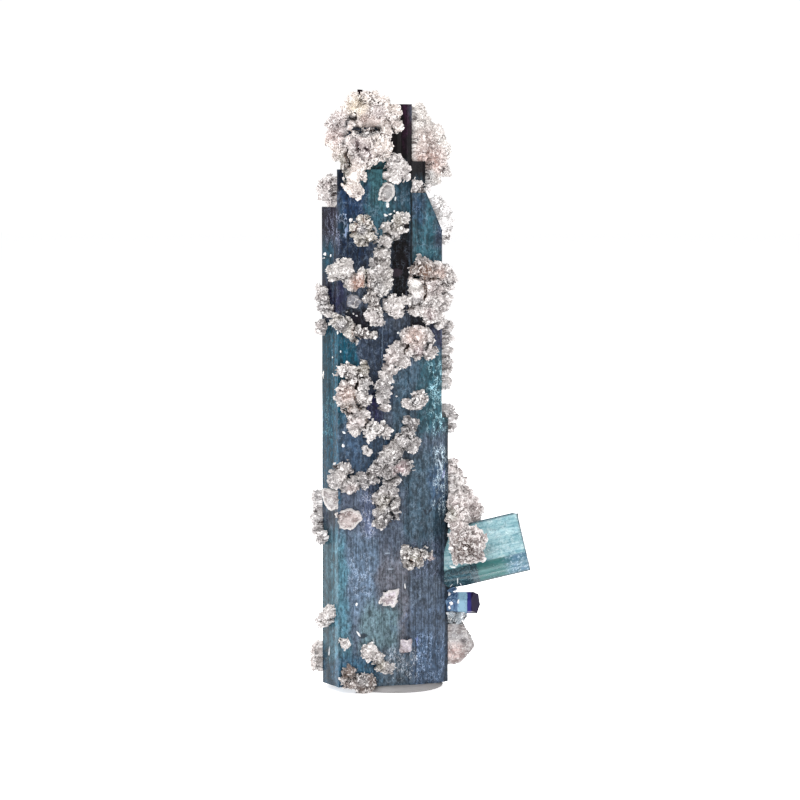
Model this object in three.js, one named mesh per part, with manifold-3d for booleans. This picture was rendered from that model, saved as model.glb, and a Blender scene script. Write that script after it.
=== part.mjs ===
// Blue tourmaline on cleavelandite: a tall striated prism of parallel columns, a pale side crystal and a few
// buds on its right flank, crusts of bladed cleavelandite over it, and the low pad of putty that it stands on.
// Millimetres, +Z up. The origin is on the prism's axis at the pad's underside. +X is to the right seen from
// the front, and the front faces -Y.
import * as THREE from "three";
import { mergeVertices } from "three/addons/utils/BufferGeometryUtils.js";
import Module from "manifold-3d";

const wasm = await Module();
wasm.setup();

// ---------- driving dimensions ----------

const padHeight = 0.6; // the prism's broken foot sits this high
const pad = { x: 1.0, radiusX: 4.9, radiusY: 4.55 }; // middle and half sizes
const seatGap = 0.16; // clearance between a crust and the crystal that carries it
const striationDepth = 0.07; // how far neighbouring ribs of a prism face step in and out
const striationWidth = [0.34, 0.78]; // narrowest and widest rib
const flakeRoot = 0.6; // how far a flake starts behind its face, before the prism is cut out of it
const flakeBevel = 0.1;
const flankStart = 6.55; // the crystals of the right flank start at this x, just clear of the prism

// The prism's plan, as its front and back edges: points of x and y from the left rim to the right rim.
const frontEdge = [[-6.2, -1.2], [-4.55, -4.3], [-0.2, -3.55], [2.7, -2.8], [5.2, -1.7], [6.35, -0.6]];
const backEdge = [[-6.2, 0.9], [-4.8, 3.0], [-1.8, 4.5], [1.6, 4.8], [4.2, 3.5], [6.35, 0.6]];

// Parallel columns grown together. from and to are x limits, inset is how far the column's front and back
// stand behind the plan's edges, foot is where it starts and top where it ends.
const columns = [
  { from: -6.2, to: -4.3, inset: [0.0, 0.1], foot: padHeight, top: 48.2 },
  { from: -4.65, to: -0.15, inset: [0.0, 0.0], foot: padHeight, top: 51.9 },
  { from: -0.5, to: 2.75, inset: [0.14, 0.16], foot: padHeight, top: 50.9 },
  { from: 2.45, to: 5.72, inset: [0.0, 0.12], foot: padHeight, top: 49.6 },
  { from: 5.3, to: 6.35, inset: [0.0, 0.05], foot: padHeight, top: 27.2 },
  { from: -3.6, to: 1.0, inset: [0.75, 0.9], foot: 45.0, top: 56.0 },
  { from: 0.6, to: 2.72, inset: [0.6, 0.8], foot: 45.0, top: 58.3 },
  { from: 2.3, to: 4.05, inset: [0.6, 0.7], foot: 45.0, top: 52.7 },
];
const rightShoulder = { x: 4.15, high: 49.6, low: 45.9, edge: 5.72 }; // the right column's top slopes down here

// Hollows broken into the front, as boxes: x limits, z limits and depth behind the face.
const hollows = [
  { from: 0.85, to: 2.4, low: 39.2, high: 45.6, depth: 1.4 },
  { from: -3.8, to: -1.6, low: 36.3, high: 38.2, depth: 0.55 },
  { from: 2.75, to: 5.0, low: 36.0, high: 37.7, depth: 0.7 },
];

// The pale crystal on the right flank leans up. Its section is drawn across its axis: how far down, and how
// far to the back.
const side = {
  foot: [5.2, 0.9, 12.7],
  length: 9.05,
  lean: 13.5,
  swing: 2,
  section: [[-3.0, -1.1], [1.75, -2.6], [3.05, -1.3], [2.7, 1.6], [0.3, 2.9], [-2.5, 1.9]],
};

// Small six-sided crystals. lean is the rise of the axis, swing its turn towards the front, both in degrees.
const buds = [
  { foot: [5.9, 0.7, 8.35], radius: 1.14, length: 4.25, lean: 4, swing: 26, roll: 12 },
  { foot: [6.3, 0.1, 9.6], radius: 0.62, length: 1.6, lean: 30, swing: 20, roll: 0 },
  { foot: [5.6, 0.4, 9.0], radius: 0.85, length: 2.2, lean: -8, swing: 12, roll: 25 },
  { foot: [6.2, -0.4, 10.4], radius: 0.5, length: 1.2, lean: 20, swing: 45, roll: 10 },
];
const tip = { foot: [-2.5, -1.7, 58.0], radius: 0.28, length: 1.75, lean: 86, swing: 10, roll: 10 };

// ---------- materials ----------

const deepBlue = new THREE.MeshStandardMaterial({ color: 0x2c5364, roughness: 0.25, metalness: 0 });
const paleTeal = new THREE.MeshStandardMaterial({ color: 0x9cc8d2, roughness: 0.15, metalness: 0 });
const nightBlue = new THREE.MeshStandardMaterial({ color: 0x2a2f6e, roughness: 0.15, metalness: 0 });
const cleavelandite = new THREE.MeshStandardMaterial({ color: 0xd8cfc9, roughness: 0.7, metalness: 0 });
const putty = new THREE.MeshStandardMaterial({ color: 0xb9b6b2, roughness: 0.8, metalness: 0 });

// ---------- helpers ----------

// A repeatable run of numbers from 0 to 1.
function dice(seed) {
  let state = seed;
  return () => {
    state = (state + 0x6d2b79f5) | 0;
    let mixed = Math.imul(state ^ (state >>> 15), 1 | state);
    mixed = (mixed + Math.imul(mixed ^ (mixed >>> 7), 61 | mixed)) ^ mixed;
    return ((mixed ^ (mixed >>> 14)) >>> 0) / 4294967296;
  };
}

function between(roll, low, high) {
  return low + (high - low) * roll();
}

// A closed geometry with nothing but shared positions.
function bareOf(geometry) {
  const bare = geometry.index ? geometry.toNonIndexed() : geometry.clone();
  bare.deleteAttribute("normal");
  bare.deleteAttribute("uv");
  return mergeVertices(bare, 1e-5);
}

// The same as a solid that can be joined and cut.
function solidOf(geometry) {
  const bare = bareOf(geometry);
  return new wasm.Manifold(new wasm.Mesh({
    numProp: 3,
    vertProperties: new Float32Array(bare.attributes.position.array),
    triVerts: new Uint32Array(bare.index.array),
  }));
}

function geometryOf(solid) {
  const mesh = solid.getMesh();
  const points = new Float32Array(mesh.numVert * 3);
  for (let i = 0; i < mesh.numVert; i++) {
    points.set(mesh.vertProperties.subarray(i * mesh.numProp, i * mesh.numProp + 3), i * 3);
  }
  const indexed = new THREE.BufferGeometry()
    .setAttribute("position", new THREE.BufferAttribute(points, 3))
    .setIndex(new THREE.BufferAttribute(new Uint32Array(mesh.triVerts), 1));
  const flat = indexed.toNonIndexed();
  flat.computeVertexNormals();
  return flat;
}

// The biggest body of a solid, so that no loose crumb is left by a cut.
function biggestOf(solid) {
  return solid.decompose().reduce((best, body) => (body.volume() > best.volume() ? body : best));
}

function joined(solids) {
  return solids.reduce((all, solid) => all.add(solid));
}

// y on an edge of the plan at x.
function edgeAt(edge, x) {
  const last = edge.length - 1;
  const found = edge.findIndex((point) => point[0] >= x);
  const end = found < 0 ? last : Math.max(1, found);
  const [[x0, y0], [x1, y1]] = [edge[end - 1], edge[end]];
  return THREE.MathUtils.lerp(y0, y1, THREE.MathUtils.clamp((x - x0) / (x1 - x0), 0, 1));
}

// ---------- the tall prism ----------

// x positions of a column's corners: the ends, and the plan's own corners between them.
function cornerPlaces(edge, from, to) {
  return [from, ...edge.map((point) => point[0]).filter((x) => x > from + 0.1 && x < to - 0.1), to];
}

// The same with random ribs put in between.
function ribPlaces(edge, from, to, roll) {
  const [first, ...stops] = cornerPlaces(edge, from, to);
  const places = [first];
  for (const stop of stops) {
    let x = places[places.length - 1];
    while (stop - x > striationWidth[1]) {
      x += between(roll, ...striationWidth);
      if (stop - x > striationWidth[0]) places.push(x);
    }
    places.push(stop);
  }
  return places;
}

// A column's outline, walked left to right along the front and back again. swell grows it all round, and
// leaves the ribs out.
function columnOutline(column, seed, swell) {
  const roll = dice(seed);
  const walk = (edge, inset, outward) => {
    const places = (swell > 0 ? cornerPlaces : ribPlaces)(edge, column.from, column.to, roll);
    const last = places.length - 1;
    return places.map((x, i) => {
      const end = i === 0 ? -1 : i === last ? 1 : 0;
      const rib = end || swell > 0 ? 0 : striationDepth * (i % 2 ? 1 : -1) * between(roll, 0.3, 1);
      return new THREE.Vector2(x + end * swell, edgeAt(edge, x) + outward * (rib - inset + swell));
    });
  };
  return [...walk(frontEdge, column.inset[0], -1), ...walk(backEdge, column.inset[1], 1).reverse()];
}

function columnSolid(column, seed, swell) {
  const outline = new THREE.Shape(columnOutline(column, seed, swell));
  const depth = column.top - column.foot + 2 * swell;
  const tall = new THREE.ExtrudeGeometry(outline, { depth, bevelEnabled: false });
  tall.translate(0, 0, column.foot - swell);
  return solidOf(tall);
}

function boxBetween(low, high) {
  const size = high.map((value, i) => value - low[i]);
  const box = new THREE.BoxGeometry(...size);
  box.translate(...low.map((value, i) => value + size[i] / 2));
  return solidOf(box);
}

// The wedge that takes the corner off the right column's top.
function shoulderWedge(swell) {
  const { x, high, low, edge } = rightShoulder;
  const reach = 3;
  const rise = (high - low) / (edge - x);
  const outline = [
    [x + swell, high + swell],
    [edge + reach, low + swell - rise * reach],
    [edge + reach, high + reach],
    [x + swell, high + reach],
  ];
  const wedge = new THREE.Shape(outline.map((point) => new THREE.Vector2(...point)));
  const deep = new THREE.ExtrudeGeometry(wedge, { depth: 12, bevelEnabled: false });
  deep.rotateX(Math.PI / 2);
  deep.translate(0, 6, 0);
  return solidOf(deep);
}

// The whole prism. A swollen copy has no hollows and is what the crusts are cut with.
function tallPrism(swell) {
  const prism = joined(columns.map((column, i) => {
    const solid = columnSolid(column, 11 + i, swell);
    return column.to === rightShoulder.edge ? solid.subtract(shoulderWedge(swell)) : solid;
  }));
  if (swell > 0) return prism;
  const broken = hollows.reduce((rest, { from, to, low, high, depth }) => {
    const face = Math.min(edgeAt(frontEdge, from), edgeAt(frontEdge, to));
    return rest.subtract(boxBetween([from, face - 2, low], [to, face + depth, high]));
  }, prism);
  return biggestOf(broken);
}

// ---------- the leaning crystals ----------

// Six corners round an axis.
function hexagon(radius) {
  const turns = [...Array(6).keys()].map((corner) => corner * Math.PI / 3);
  return turns.map((turn) => [Math.cos(turn) * radius, Math.sin(turn) * radius]);
}

// A prism with ribbed faces and a flat end, leaning from its foot. swell grows it all round.
function leaningCrystal({ foot, section, radius, length, lean, swing, roll = 0 }, seed, ribs, swell) {
  const chance = dice(seed);
  const corners = (section ?? hexagon(radius)).map((point) => {
    const corner = new THREE.Vector2(...point);
    return corner.setLength(corner.length() + swell * 1.15);
  });
  const points = corners.flatMap((here, i) => {
    const next = corners[(i + 1) % corners.length];
    const steps = [...Array(ribs - 1).keys()].map((rib) => {
      const point = here.clone().lerp(next, (rib + 1 + between(chance, -0.25, 0.25)) / ribs);
      const step = striationDepth * 0.8 * (rib % 2 ? 1 : -1) * between(chance, 0.3, 1);
      return point.setLength(point.length() + step);
    });
    return [here, ...steps];
  });
  const depth = length + 2 * swell;
  const prism = new THREE.ExtrudeGeometry(new THREE.Shape(points), { depth, bevelEnabled: false });
  prism.translate(0, 0, -swell);
  prism.rotateZ(THREE.MathUtils.degToRad(roll)); // turned about its own axis
  prism.rotateY(Math.PI / 2); // the axis now points to the right
  prism.rotateY(THREE.MathUtils.degToRad(-lean));
  prism.rotateZ(THREE.MathUtils.degToRad(-swing));
  prism.translate(...foot);
  return solidOf(prism);
}

const prismCutter = tallPrism(seatGap + striationDepth);
const flankCutter = boxBetween([0, -9, 0], [flankStart, 9, 30]);
const sideCutter = leaningCrystal(side, 31, 1, seatGap + striationDepth);

function sideCrystal() {
  return leaningCrystal(side, 31, 5, 0).subtract(flankCutter);
}

function budCrystals(swell) {
  const cluster = joined(buds.map((bud, i) => leaningCrystal(bud, 41 + i, 2, swell)));
  return swell > 0 ? cluster : biggestOf(cluster.subtract(flankCutter).subtract(sideCutter));
}

const budCutter = budCrystals(seatGap);
const tipCutter = leaningCrystal(tip, 51, 1, seatGap);

// ---------- cleavelandite ----------

// One knobbly lump of intergrown blades: a big one is roundish, most small ones are pointed and some blocky.
function lumpForm(radius, turn) {
  if (radius > 1.29) return new THREE.IcosahedronGeometry(radius * 1.1, 0);
  if (turn % 5 === 3) return new THREE.BoxGeometry(radius * 1.6, radius * 1.45, radius * 1.3);
  return new THREE.OctahedronGeometry(radius * 1.34, 0);
}

function lump([x, z, radius], y, turn, roll) {
  const bare = bareOf(lumpForm(radius, turn));
  const points = bare.attributes.position;
  for (let i = 0; i < points.count; i++) {
    const reach = between(roll, 0.86, 1.14);
    points.setXYZ(i, points.getX(i) * reach, points.getY(i) * reach, points.getZ(i) * reach);
  }
  bare.rotateX(between(roll, 0, Math.PI * 2));
  bare.rotateY(between(roll, 0, Math.PI * 2));
  bare.translate(x, y, z);
  return solidOf(bare);
}

// y of a lump's middle on the faces that follow the plan. On the flanks each lump gives its own.
const faces = {
  front: (x, radius) => edgeAt(frontEdge, x) - radius * 0.3,
  back: (x, radius) => edgeAt(backEdge, x) + radius * 0.3,
};

// Crusts, each a list of lumps: x, z, radius, and y where the lump doesn't lie on its face.
const crusts = {
  crown: { face: "front", lumps: [
    [-2.9, 58.4, 1.05, -1.9], [-1.6, 58.5, 1.15, -1.8], [-0.5, 58.2, 1.0, -1.9],
    [-3.3, 57.3, 1.1, -2.5], [-2.0, 57.2, 1.15, -3.0], [-0.7, 57.0, 1.2, -3.0], [0.5, 57.2, 1.05, -2.9],
    [1.25, 57.4, 0.85, -2.8], [1.5, 56.2, 0.65, -3.0], [-0.1, 56.1, 0.8, -3.3], [-3.4, 56.0, 1.0, -2.9],
    [-4.6, 56.4, 1.2, -1.7], [-4.7, 55.1, 1.1, -1.7], [-4.2, 53.9, 1.15, -2.8], [-3.5, 52.9, 0.95, -3.8],
    [-2.7, 54.7, 1.15, -3.7], [-1.5, 54.6, 1.15, -3.8], [-0.4, 54.8, 1.1, -3.6], [0.0, 53.9, 0.9, -3.7],
    [-1.0, 53.4, 1.0, -3.9], [-2.2, 52.9, 1.2, -4.1], [-2.7, 51.6, 0.85, -4.4],
    [-3.5, 51.2, 0.65, -4.5], [-3.1, 50.3, 0.85, -4.5], [-2.7, 49.6, 0.6, -4.5],
    [-2.0, 57.6, 1.25, -0.7], [-2.4, 57.2, 1.7, 0.9], [-0.3, 57.0, 1.6, 0.8], [-4.0, 55.8, 1.5, 0.7],
    [-1.4, 56.2, 1.6, 2.6], [-3.4, 54.6, 1.4, 2.4],
  ] },
  crown_behind: { face: "right", lumps: [
    [3.3, 57.2, 1.05, 0.6], [3.6, 55.9, 1.3, 0.5], [4.8, 55.2, 1.35, 0.7], [3.8, 54.2, 1.3, 0.7],
    [5.3, 53.8, 1.3, 0.7], [5.1, 52.3, 1.25, 0.7], [4.6, 51.1, 1.0, 0.6], [4.0, 53.2, 1.6, 2.4],
    [2.6, 53.9, 1.6, 3.9], [1.0, 54.9, 1.5, 4.2],
  ] },
  rosette_brow: { face: "front", lumps: [
    [1.35, 52.2, 0.95, -3.2], [0.85, 52.7, 0.6, -3.2], [1.75, 51.5, 0.65, -3.1], [1.0, 51.3, 0.7, -3.3],
  ] },
  knob_left: { face: "left", lumps: [
    [-5.45, 50.5, 0.8, -2.2], [-5.55, 49.5, 0.85, -2.0], [-5.3, 49.0, 0.6, -2.1], [-5.8, 50.0, 0.8, -0.8],
  ] },
  chips_right: { face: "front", lumps: [
    [2.95, 50.3, 0.55, -2.6], [3.5, 50.2, 0.55, -2.0], [3.9, 50.0, 0.5, -1.6],
  ] },
  shoulder: { face: "right", lumps: [
    [4.9, 48.4, 0.8, -0.7], [5.4, 47.6, 0.95, -0.5], [5.8, 46.6, 0.95, -0.5], [6.0, 45.6, 0.75, -0.5],
    [5.9, 44.9, 0.5, -0.7], [5.4, 47.8, 1.1, 0.9],
  ] },
  knot_upper: { face: "front", lumps: [
    [-2.1, 46.9, 0.6], [-2.6, 46.1, 0.8], [-1.7, 46.2, 0.7], [-2.3, 45.3, 0.85], [-1.6, 45.2, 0.6],
  ] },
  spine: { face: "front", lumps: [
    [1.6, 47.0, 0.65], [1.4, 46.1, 0.65], [0.75, 45.4, 0.6], [0.2, 46.2, 0.45], [-0.3, 46.1, 0.4],
    [0.0, 44.6, 0.75], [-0.2, 43.5, 0.8], [-0.5, 42.3, 0.95], [0.0, 41.5, 0.8], [-1.3, 41.1, 0.9],
    [-0.4, 40.4, 0.9], [-2.3, 41.3, 0.85], [-3.2, 40.9, 0.85], [-4.1, 42.1, 1.05], [-4.8, 41.8, 0.75],
    [-1.3, 39.5, 0.85], [-1.0, 38.3, 0.7], [-0.8, 37.2, 0.8], [-1.3, 37.4, 0.55],
  ] },
  rim_left: { face: "left", lumps: [
    [-6.1, 40.0, 0.55, -2.1], [-6.15, 39.2, 0.6, -2.1], [-5.9, 38.4, 0.65, -2.6], [-5.4, 38.0, 0.55, -3.4],
  ] },
  bead_left: { face: "left", lumps: [[-6.2, 36.4, 0.65, -1.9]] },
  band: { face: "front", lumps: [
    [-4.6, 37.0, 0.65], [-4.1, 36.6, 0.75], [-3.4, 36.2, 0.7], [-2.7, 36.0, 0.7], [-1.9, 35.9, 0.65],
    [-1.3, 35.7, 0.6], [-2.9, 35.2, 0.5],
  ] },
  rosette_mid: { face: "front", lumps: [
    [1.05, 38.8, 0.9], [1.6, 38.9, 0.5], [0.55, 38.5, 0.6], [1.3, 37.9, 0.6],
  ] },
  cascade: { face: "right", lumps: [
    [3.6, 42.7, 0.7, -2.7], [3.1, 42.1, 0.65, -3.1], [4.3, 42.0, 0.9, -2.7], [5.2, 41.7, 0.9, -2.0],
    [6.0, 41.4, 0.85, -1.2], [6.5, 40.9, 0.6, -0.8], [4.7, 40.7, 0.95, -2.4], [5.7, 40.3, 0.9, -1.5],
    [3.8, 39.8, 0.8, -2.9], [4.8, 39.3, 0.9, -2.3], [5.8, 39.0, 0.8, -1.4], [4.2, 38.2, 0.8, -2.7],
    [5.1, 37.7, 0.9, -2.1], [4.3, 37.2, 0.55, -2.6], [5.5, 36.7, 0.55, -1.6],
  ], flake: { rise: 0.8, outline: [
    [2.45, 37.9], [3.3, 37.8], [3.4, 39.8], [3.6, 40.9], [2.7, 41.1], [2.4, 40.2],
  ] } },
  selvage: { face: "right", lumps: [
    [6.1, 36.1, 0.65, 0.5], [6.1, 35.0, 0.65, 0.6], [6.05, 33.9, 0.65, 0.6], [6.1, 32.8, 0.65, 0.5],
    [6.05, 31.7, 0.65, 0.6], [6.1, 30.7, 0.6, 0.5],
  ] },
  chips_rim: { face: "right", lumps: [[6.3, 27.8, 0.55, 0.3], [6.6, 27.2, 0.6, 0.2], [6.55, 26.3, 0.55, 0.1]] },
  peach: { face: "front", lumps: [
    [2.4, 35.4, 0.85], [3.3, 35.5, 0.95], [4.2, 35.2, 0.75], [2.6, 34.5, 0.8], [3.5, 34.5, 0.85],
    [3.2, 33.7, 0.6], [4.4, 33.8, 0.65], [2.0, 33.9, 0.75], [1.2, 33.9, 0.85], [1.7, 33.1, 0.7],
    [0.8, 33.2, 0.75], [0.5, 32.3, 0.7], [0.1, 31.5, 0.75], [-0.2, 30.5, 0.75], [-0.2, 29.6, 0.75],
    [-0.1, 28.6, 0.6],
  ] },
  drift: { face: "front", lumps: [
    [-4.1, 32.2, 0.7], [-3.2, 32.0, 0.75], [-2.2, 32.0, 0.8], [-2.15, 33.0, 0.45], [-2.9, 31.0, 0.85],
    [-1.95, 30.9, 0.7], [-3.9, 30.1, 1.0], [-3.8, 29.2, 0.95], [-2.9, 30.0, 0.9], [-2.1, 29.4, 0.85],
    [-3.4, 28.2, 0.8], [-2.6, 27.2, 0.95], [-2.1, 27.7, 0.7], [-3.0, 26.4, 0.6], [-1.9, 26.6, 0.75],
    [-1.3, 26.2, 0.8], [-0.5, 26.3, 0.8], [0.1, 26.1, 0.65],
  ] },
  rosette_right: { face: "front", lumps: [[3.1, 29.0, 0.95], [3.5, 29.8, 0.55], [2.5, 28.8, 0.6]] },
  garland: { face: "front", lumps: [
    [2.6, 26.7, 0.65], [2.3, 25.9, 0.65], [1.8, 25.1, 0.9], [2.6, 24.7, 0.8], [1.1, 24.3, 0.8],
    [0.6, 23.5, 0.8], [-0.2, 23.2, 0.75], [0.3, 22.5, 0.65], [1.3, 22.8, 0.8], [2.2, 22.5, 0.7],
    [-0.6, 22.2, 0.7], [-1.3, 21.7, 0.8], [-2.1, 21.2, 0.8], [0.6, 21.3, 0.8], [0.3, 20.2, 0.8],
    [-0.4, 19.4, 0.8], [0.6, 19.1, 0.85], [-0.2, 18.2, 0.85], [0.6, 17.9, 0.75], [-0.4, 17.0, 0.7],
    [-2.9, 20.9, 0.8], [-3.7, 20.8, 0.8], [-4.5, 21.5, 0.9], [-4.1, 22.4, 0.85], [-3.6, 22.9, 0.5],
  ] },
  fringe_left: { face: "left", lumps: [
    [-6.55, 19.1, 0.6, -0.6], [-6.6, 18.1, 0.6, -0.5], [-6.6, 17.1, 0.65, -0.7], [-6.6, 16.2, 0.7, -1.0],
    [-6.2, 15.4, 0.7, -1.9],
  ] },
  starfish: { face: "front", lumps: [
    [2.9, 13.7, 0.9], [2.2, 13.9, 0.65], [3.8, 13.8, 0.7], [4.4, 13.5, 0.5], [3.2, 13.0, 0.7],
    [2.5, 12.8, 0.55],
  ] },
  tuft_left: { face: "left", lumps: [
    [-6.15, 6.9, 0.6, -2.0], [-5.8, 7.6, 0.65, -2.7], [-5.3, 8.0, 0.6, -3.4],
  ] },
  knob_foot_left: { face: "left", lumps: [
    [-6.65, 3.9, 0.6, -0.4], [-6.8, 3.1, 0.65, -0.3], [-6.75, 2.3, 0.6, -0.4],
  ] },
  speck_low: { face: "front", lumps: [[-3.95, 5.1, 0.5], [-4.4, 5.3, 0.4]] },
  hook: { face: "front", lumps: [
    [-1.5, 4.3, 0.7], [-1.5, 3.6, 0.65], [-0.9, 3.6, 0.65], [-0.4, 3.0, 0.6], [0.0, 2.5, 0.6],
    [0.5, 2.4, 0.5],
  ] },
  toe: { face: "front", lumps: [
    [-3.4, 2.3, 0.6], [-3.8, 1.3, 0.7], [-3.1, 1.2, 0.8], [-2.2, 1.2, 0.95], [-1.5, 1.2, 0.75],
    [-2.1, 0.75, 0.7],
  ] },
  spur: { face: "right", lumps: [
    [6.5, 22.4, 0.65, 0.2], [6.8, 21.4, 0.8, 0.4], [7.1, 20.2, 1.0, 0.6], [7.6, 19.2, 1.05, 0.8],
    [8.4, 18.3, 1.0, 0.9], [9.1, 17.8, 0.8, 0.8], [7.2, 18.6, 1.0, -0.3], [7.3, 17.3, 1.0, -1.2],
    [7.9, 17.6, 0.95, 0.0], [7.4, 16.2, 0.95, -2.1], [8.3, 14.7, 1.6, -2.9], [7.6, 15.5, 1.0, -2.6],
    [9.1, 15.2, 0.95, -2.9], [8.9, 13.8, 1.0, -2.9], [7.6, 13.9, 1.0, -2.6],
    [7.2, 18.9, 1.15, 2.0], [6.9, 17.6, 1.28, 3.3],
  ] },
  chips_bud: { face: "right", lumps: [[6.75, 7.6, 0.6, -0.5], [7.4, 7.2, 0.55, -0.4], [7.9, 7.2, 0.45, -0.4]] },
  back_crest: { face: "back", lumps: [
    [-1.6, 49.4, 1.3], [-0.3, 48.1, 1.4], [1.0, 47.0, 1.2], [-2.5, 48.0, 1.0], [1.9, 46.0, 0.9],
  ] },
  back_chain: { face: "back", lumps: [
    [-2.9, 41.5, 0.95], [-2.2, 40.2, 1.0], [-1.2, 39.1, 0.95], [-0.4, 37.8, 0.9], [-1.4, 37.2, 0.8],
  ] },
  back_rosette: { face: "back", lumps: [[2.6, 35.6, 1.1], [3.4, 34.7, 0.85], [1.9, 34.6, 0.8]] },
  back_drift: { face: "back", lumps: [
    [-3.6, 31.0, 0.9], [-3.0, 29.9, 1.0], [-2.0, 28.9, 1.1], [-0.8, 28.2, 0.9], [0.2, 27.2, 0.8],
    [-2.7, 27.7, 0.8],
  ] },
  back_knot: { face: "back", lumps: [[3.2, 23.4, 1.1], [2.3, 22.3, 1.0], [3.9, 22.3, 0.8]] },
  back_fan: { face: "back", lumps: [
    [-2.2, 18.2, 0.9], [-1.2, 17.3, 1.0], [-2.6, 16.9, 0.8], [-0.3, 16.4, 0.7],
  ] },
  back_chip: { face: "back", lumps: [[1.6, 11.2, 0.8], [2.3, 10.4, 0.7]] },
  back_toe: { face: "back", lumps: [[-2.9, 4.2, 1.0], [-1.8, 3.3, 0.9], [-3.6, 3.1, 0.7]] },
};

// Flakes that lie flat: their outlines in x and z, and how far they stand off the face.
const flakes = {
  brow: { rise: 0.5, outline: [
    [-0.65, 48.8], [0.4, 48.8], [0.9, 49.3], [0.95, 50.3], [0.2, 50.6], [-0.35, 50.2],
  ] },
  spine: { rise: 0.45, outline: [[-3.8, 38.6], [-2.7, 38.4], [-2.35, 38.9], [-2.7, 39.5], [-3.4, 39.4]] },
  crumb: { rise: 0.4, outline: [[-2.25, 24.4], [-1.9, 24.0], [-1.45, 23.8], [-1.2, 24.2], [-2.0, 24.6]] },
  shell: { y: -4.1, rise: 0.5, outline: [
    [-6.0, 20.2], [-5.85, 19.2], [-5.3, 18.45], [-4.7, 18.8], [-4.4, 19.5], [-4.5, 20.1],
  ] },
  low: { rise: 0.5, outline: [
    [-4.75, 18.0], [-4.3, 16.55], [-3.2, 16.6], [-2.4, 17.4], [-2.6, 17.9], [-3.5, 18.3],
  ] },
  waist: { rise: 0.45, outline: [
    [-0.5, 9.7], [0.4, 8.7], [1.15, 8.6], [1.3, 10.1], [0.3, 10.0], [-0.2, 10.0],
  ] },
  wedge: { y: 0.7, rise: 1.2, outline: [
    [6.1, 6.2], [7.8, 6.2], [8.45, 5.1], [8.9, 4.1], [8.5, 3.6], [7.6, 2.6], [6.8, 2.35], [6.1, 2.8],
  ] },
  square: { rise: 0.45, outline: [[1.55, 4.0], [2.6, 4.05], [2.65, 5.2], [1.65, 5.1]] },
};

// ---------- the pad ----------

// A low round cake with a soft rim. swell grows it all round.
function padSolid(swell) {
  const rim = [[0.92, 0], [1, 0.3], [0.99, 0.65], [0.92, 1]];
  const profile = [[0, 0], ...rim, [0, 1]].map(([r, z]) => new THREE.Vector2(r, z * (padHeight + swell)));
  const cake = new THREE.LatheGeometry(profile, 28);
  cake.rotateX(Math.PI / 2);
  cake.scale(pad.radiusX + swell, pad.radiusY + swell, 1);
  cake.translate(pad.x, 0, 0);
  return solidOf(cake);
}

const padCutter = padSolid(seatGap);
const groundCutter = boxBetween([-9, -9, -3], [9, 9, 0.03]); // nothing reaches lower than the pad

function cutFree(crust) {
  const cutters = [prismCutter, sideCutter, budCutter, tipCutter, padCutter, groundCutter];
  return biggestOf(cutters.reduce((rest, cutter) => rest.subtract(cutter), crust));
}

// A flake before it is cut to fit.
function plate({ outline, rise, y }) {
  const middle = outline.reduce((sum, point) => sum + point[0], 0) / outline.length;
  const rim = new THREE.Shape(outline.map((point) => new THREE.Vector2(...point)));
  const flake = new THREE.ExtrudeGeometry(rim, {
    depth: rise + flakeRoot - flakeBevel,
    bevelThickness: flakeBevel,
    bevelSize: flakeBevel,
    bevelSegments: 1,
  });
  flake.rotateX(Math.PI / 2);
  flake.translate(0, (y ?? edgeAt(frontEdge, middle)) + flakeRoot, 0);
  return solidOf(flake);
}

function crustSolid({ face, lumps, flake }, seed) {
  const roll = dice(seed);
  const grown = lumps.map((item, i) => lump(item, item[3] ?? faces[face](item[0], item[2]), i, roll));
  return cutFree(joined(flake ? [...grown, plate(flake)] : grown));
}

// ---------- assembly ----------

const specimen = new THREE.Group();

function place(name, solid, material) {
  const mesh = new THREE.Mesh(geometryOf(solid), material);
  mesh.name = name;
  specimen.add(mesh);
}

place("tourmaline_prism", tallPrism(0), deepBlue);
place("tourmaline_side", sideCrystal(), paleTeal);
place("tourmaline_buds", budCrystals(0), nightBlue);
place("tourmaline_tip", leaningCrystal(tip, 51, 1, 0).subtract(prismCutter), nightBlue);
place("putty_pad", padSolid(0), putty);
Object.entries(crusts).forEach(([name, crust], i) => {
  place("cleavelandite_" + name, crustSolid(crust, 101 + i), cleavelandite);
});
Object.entries(flakes).forEach(([name, flake]) => {
  place("flake_" + name, cutFree(plate(flake)), cleavelandite);
});

export default specimen;
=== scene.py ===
import math
import random

import bpy
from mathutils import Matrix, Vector, kdtree, noise


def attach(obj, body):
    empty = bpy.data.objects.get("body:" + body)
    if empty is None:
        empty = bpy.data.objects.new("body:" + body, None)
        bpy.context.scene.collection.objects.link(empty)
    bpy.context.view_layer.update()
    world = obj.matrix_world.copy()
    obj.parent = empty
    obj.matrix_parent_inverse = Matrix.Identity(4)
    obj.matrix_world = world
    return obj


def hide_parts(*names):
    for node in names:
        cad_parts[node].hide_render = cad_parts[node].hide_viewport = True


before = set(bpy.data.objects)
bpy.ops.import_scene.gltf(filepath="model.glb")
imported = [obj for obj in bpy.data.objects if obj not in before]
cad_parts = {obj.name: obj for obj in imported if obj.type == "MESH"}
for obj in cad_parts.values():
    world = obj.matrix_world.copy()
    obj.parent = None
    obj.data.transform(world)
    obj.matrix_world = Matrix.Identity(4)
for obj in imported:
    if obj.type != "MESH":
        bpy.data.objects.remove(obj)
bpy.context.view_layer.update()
mm = 0.001


# camera, light and floor

view = {"target": (1.55, 0.0, 28.9), "distance": 300.0, "lift": 4.5, "lens": 135.0}

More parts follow.
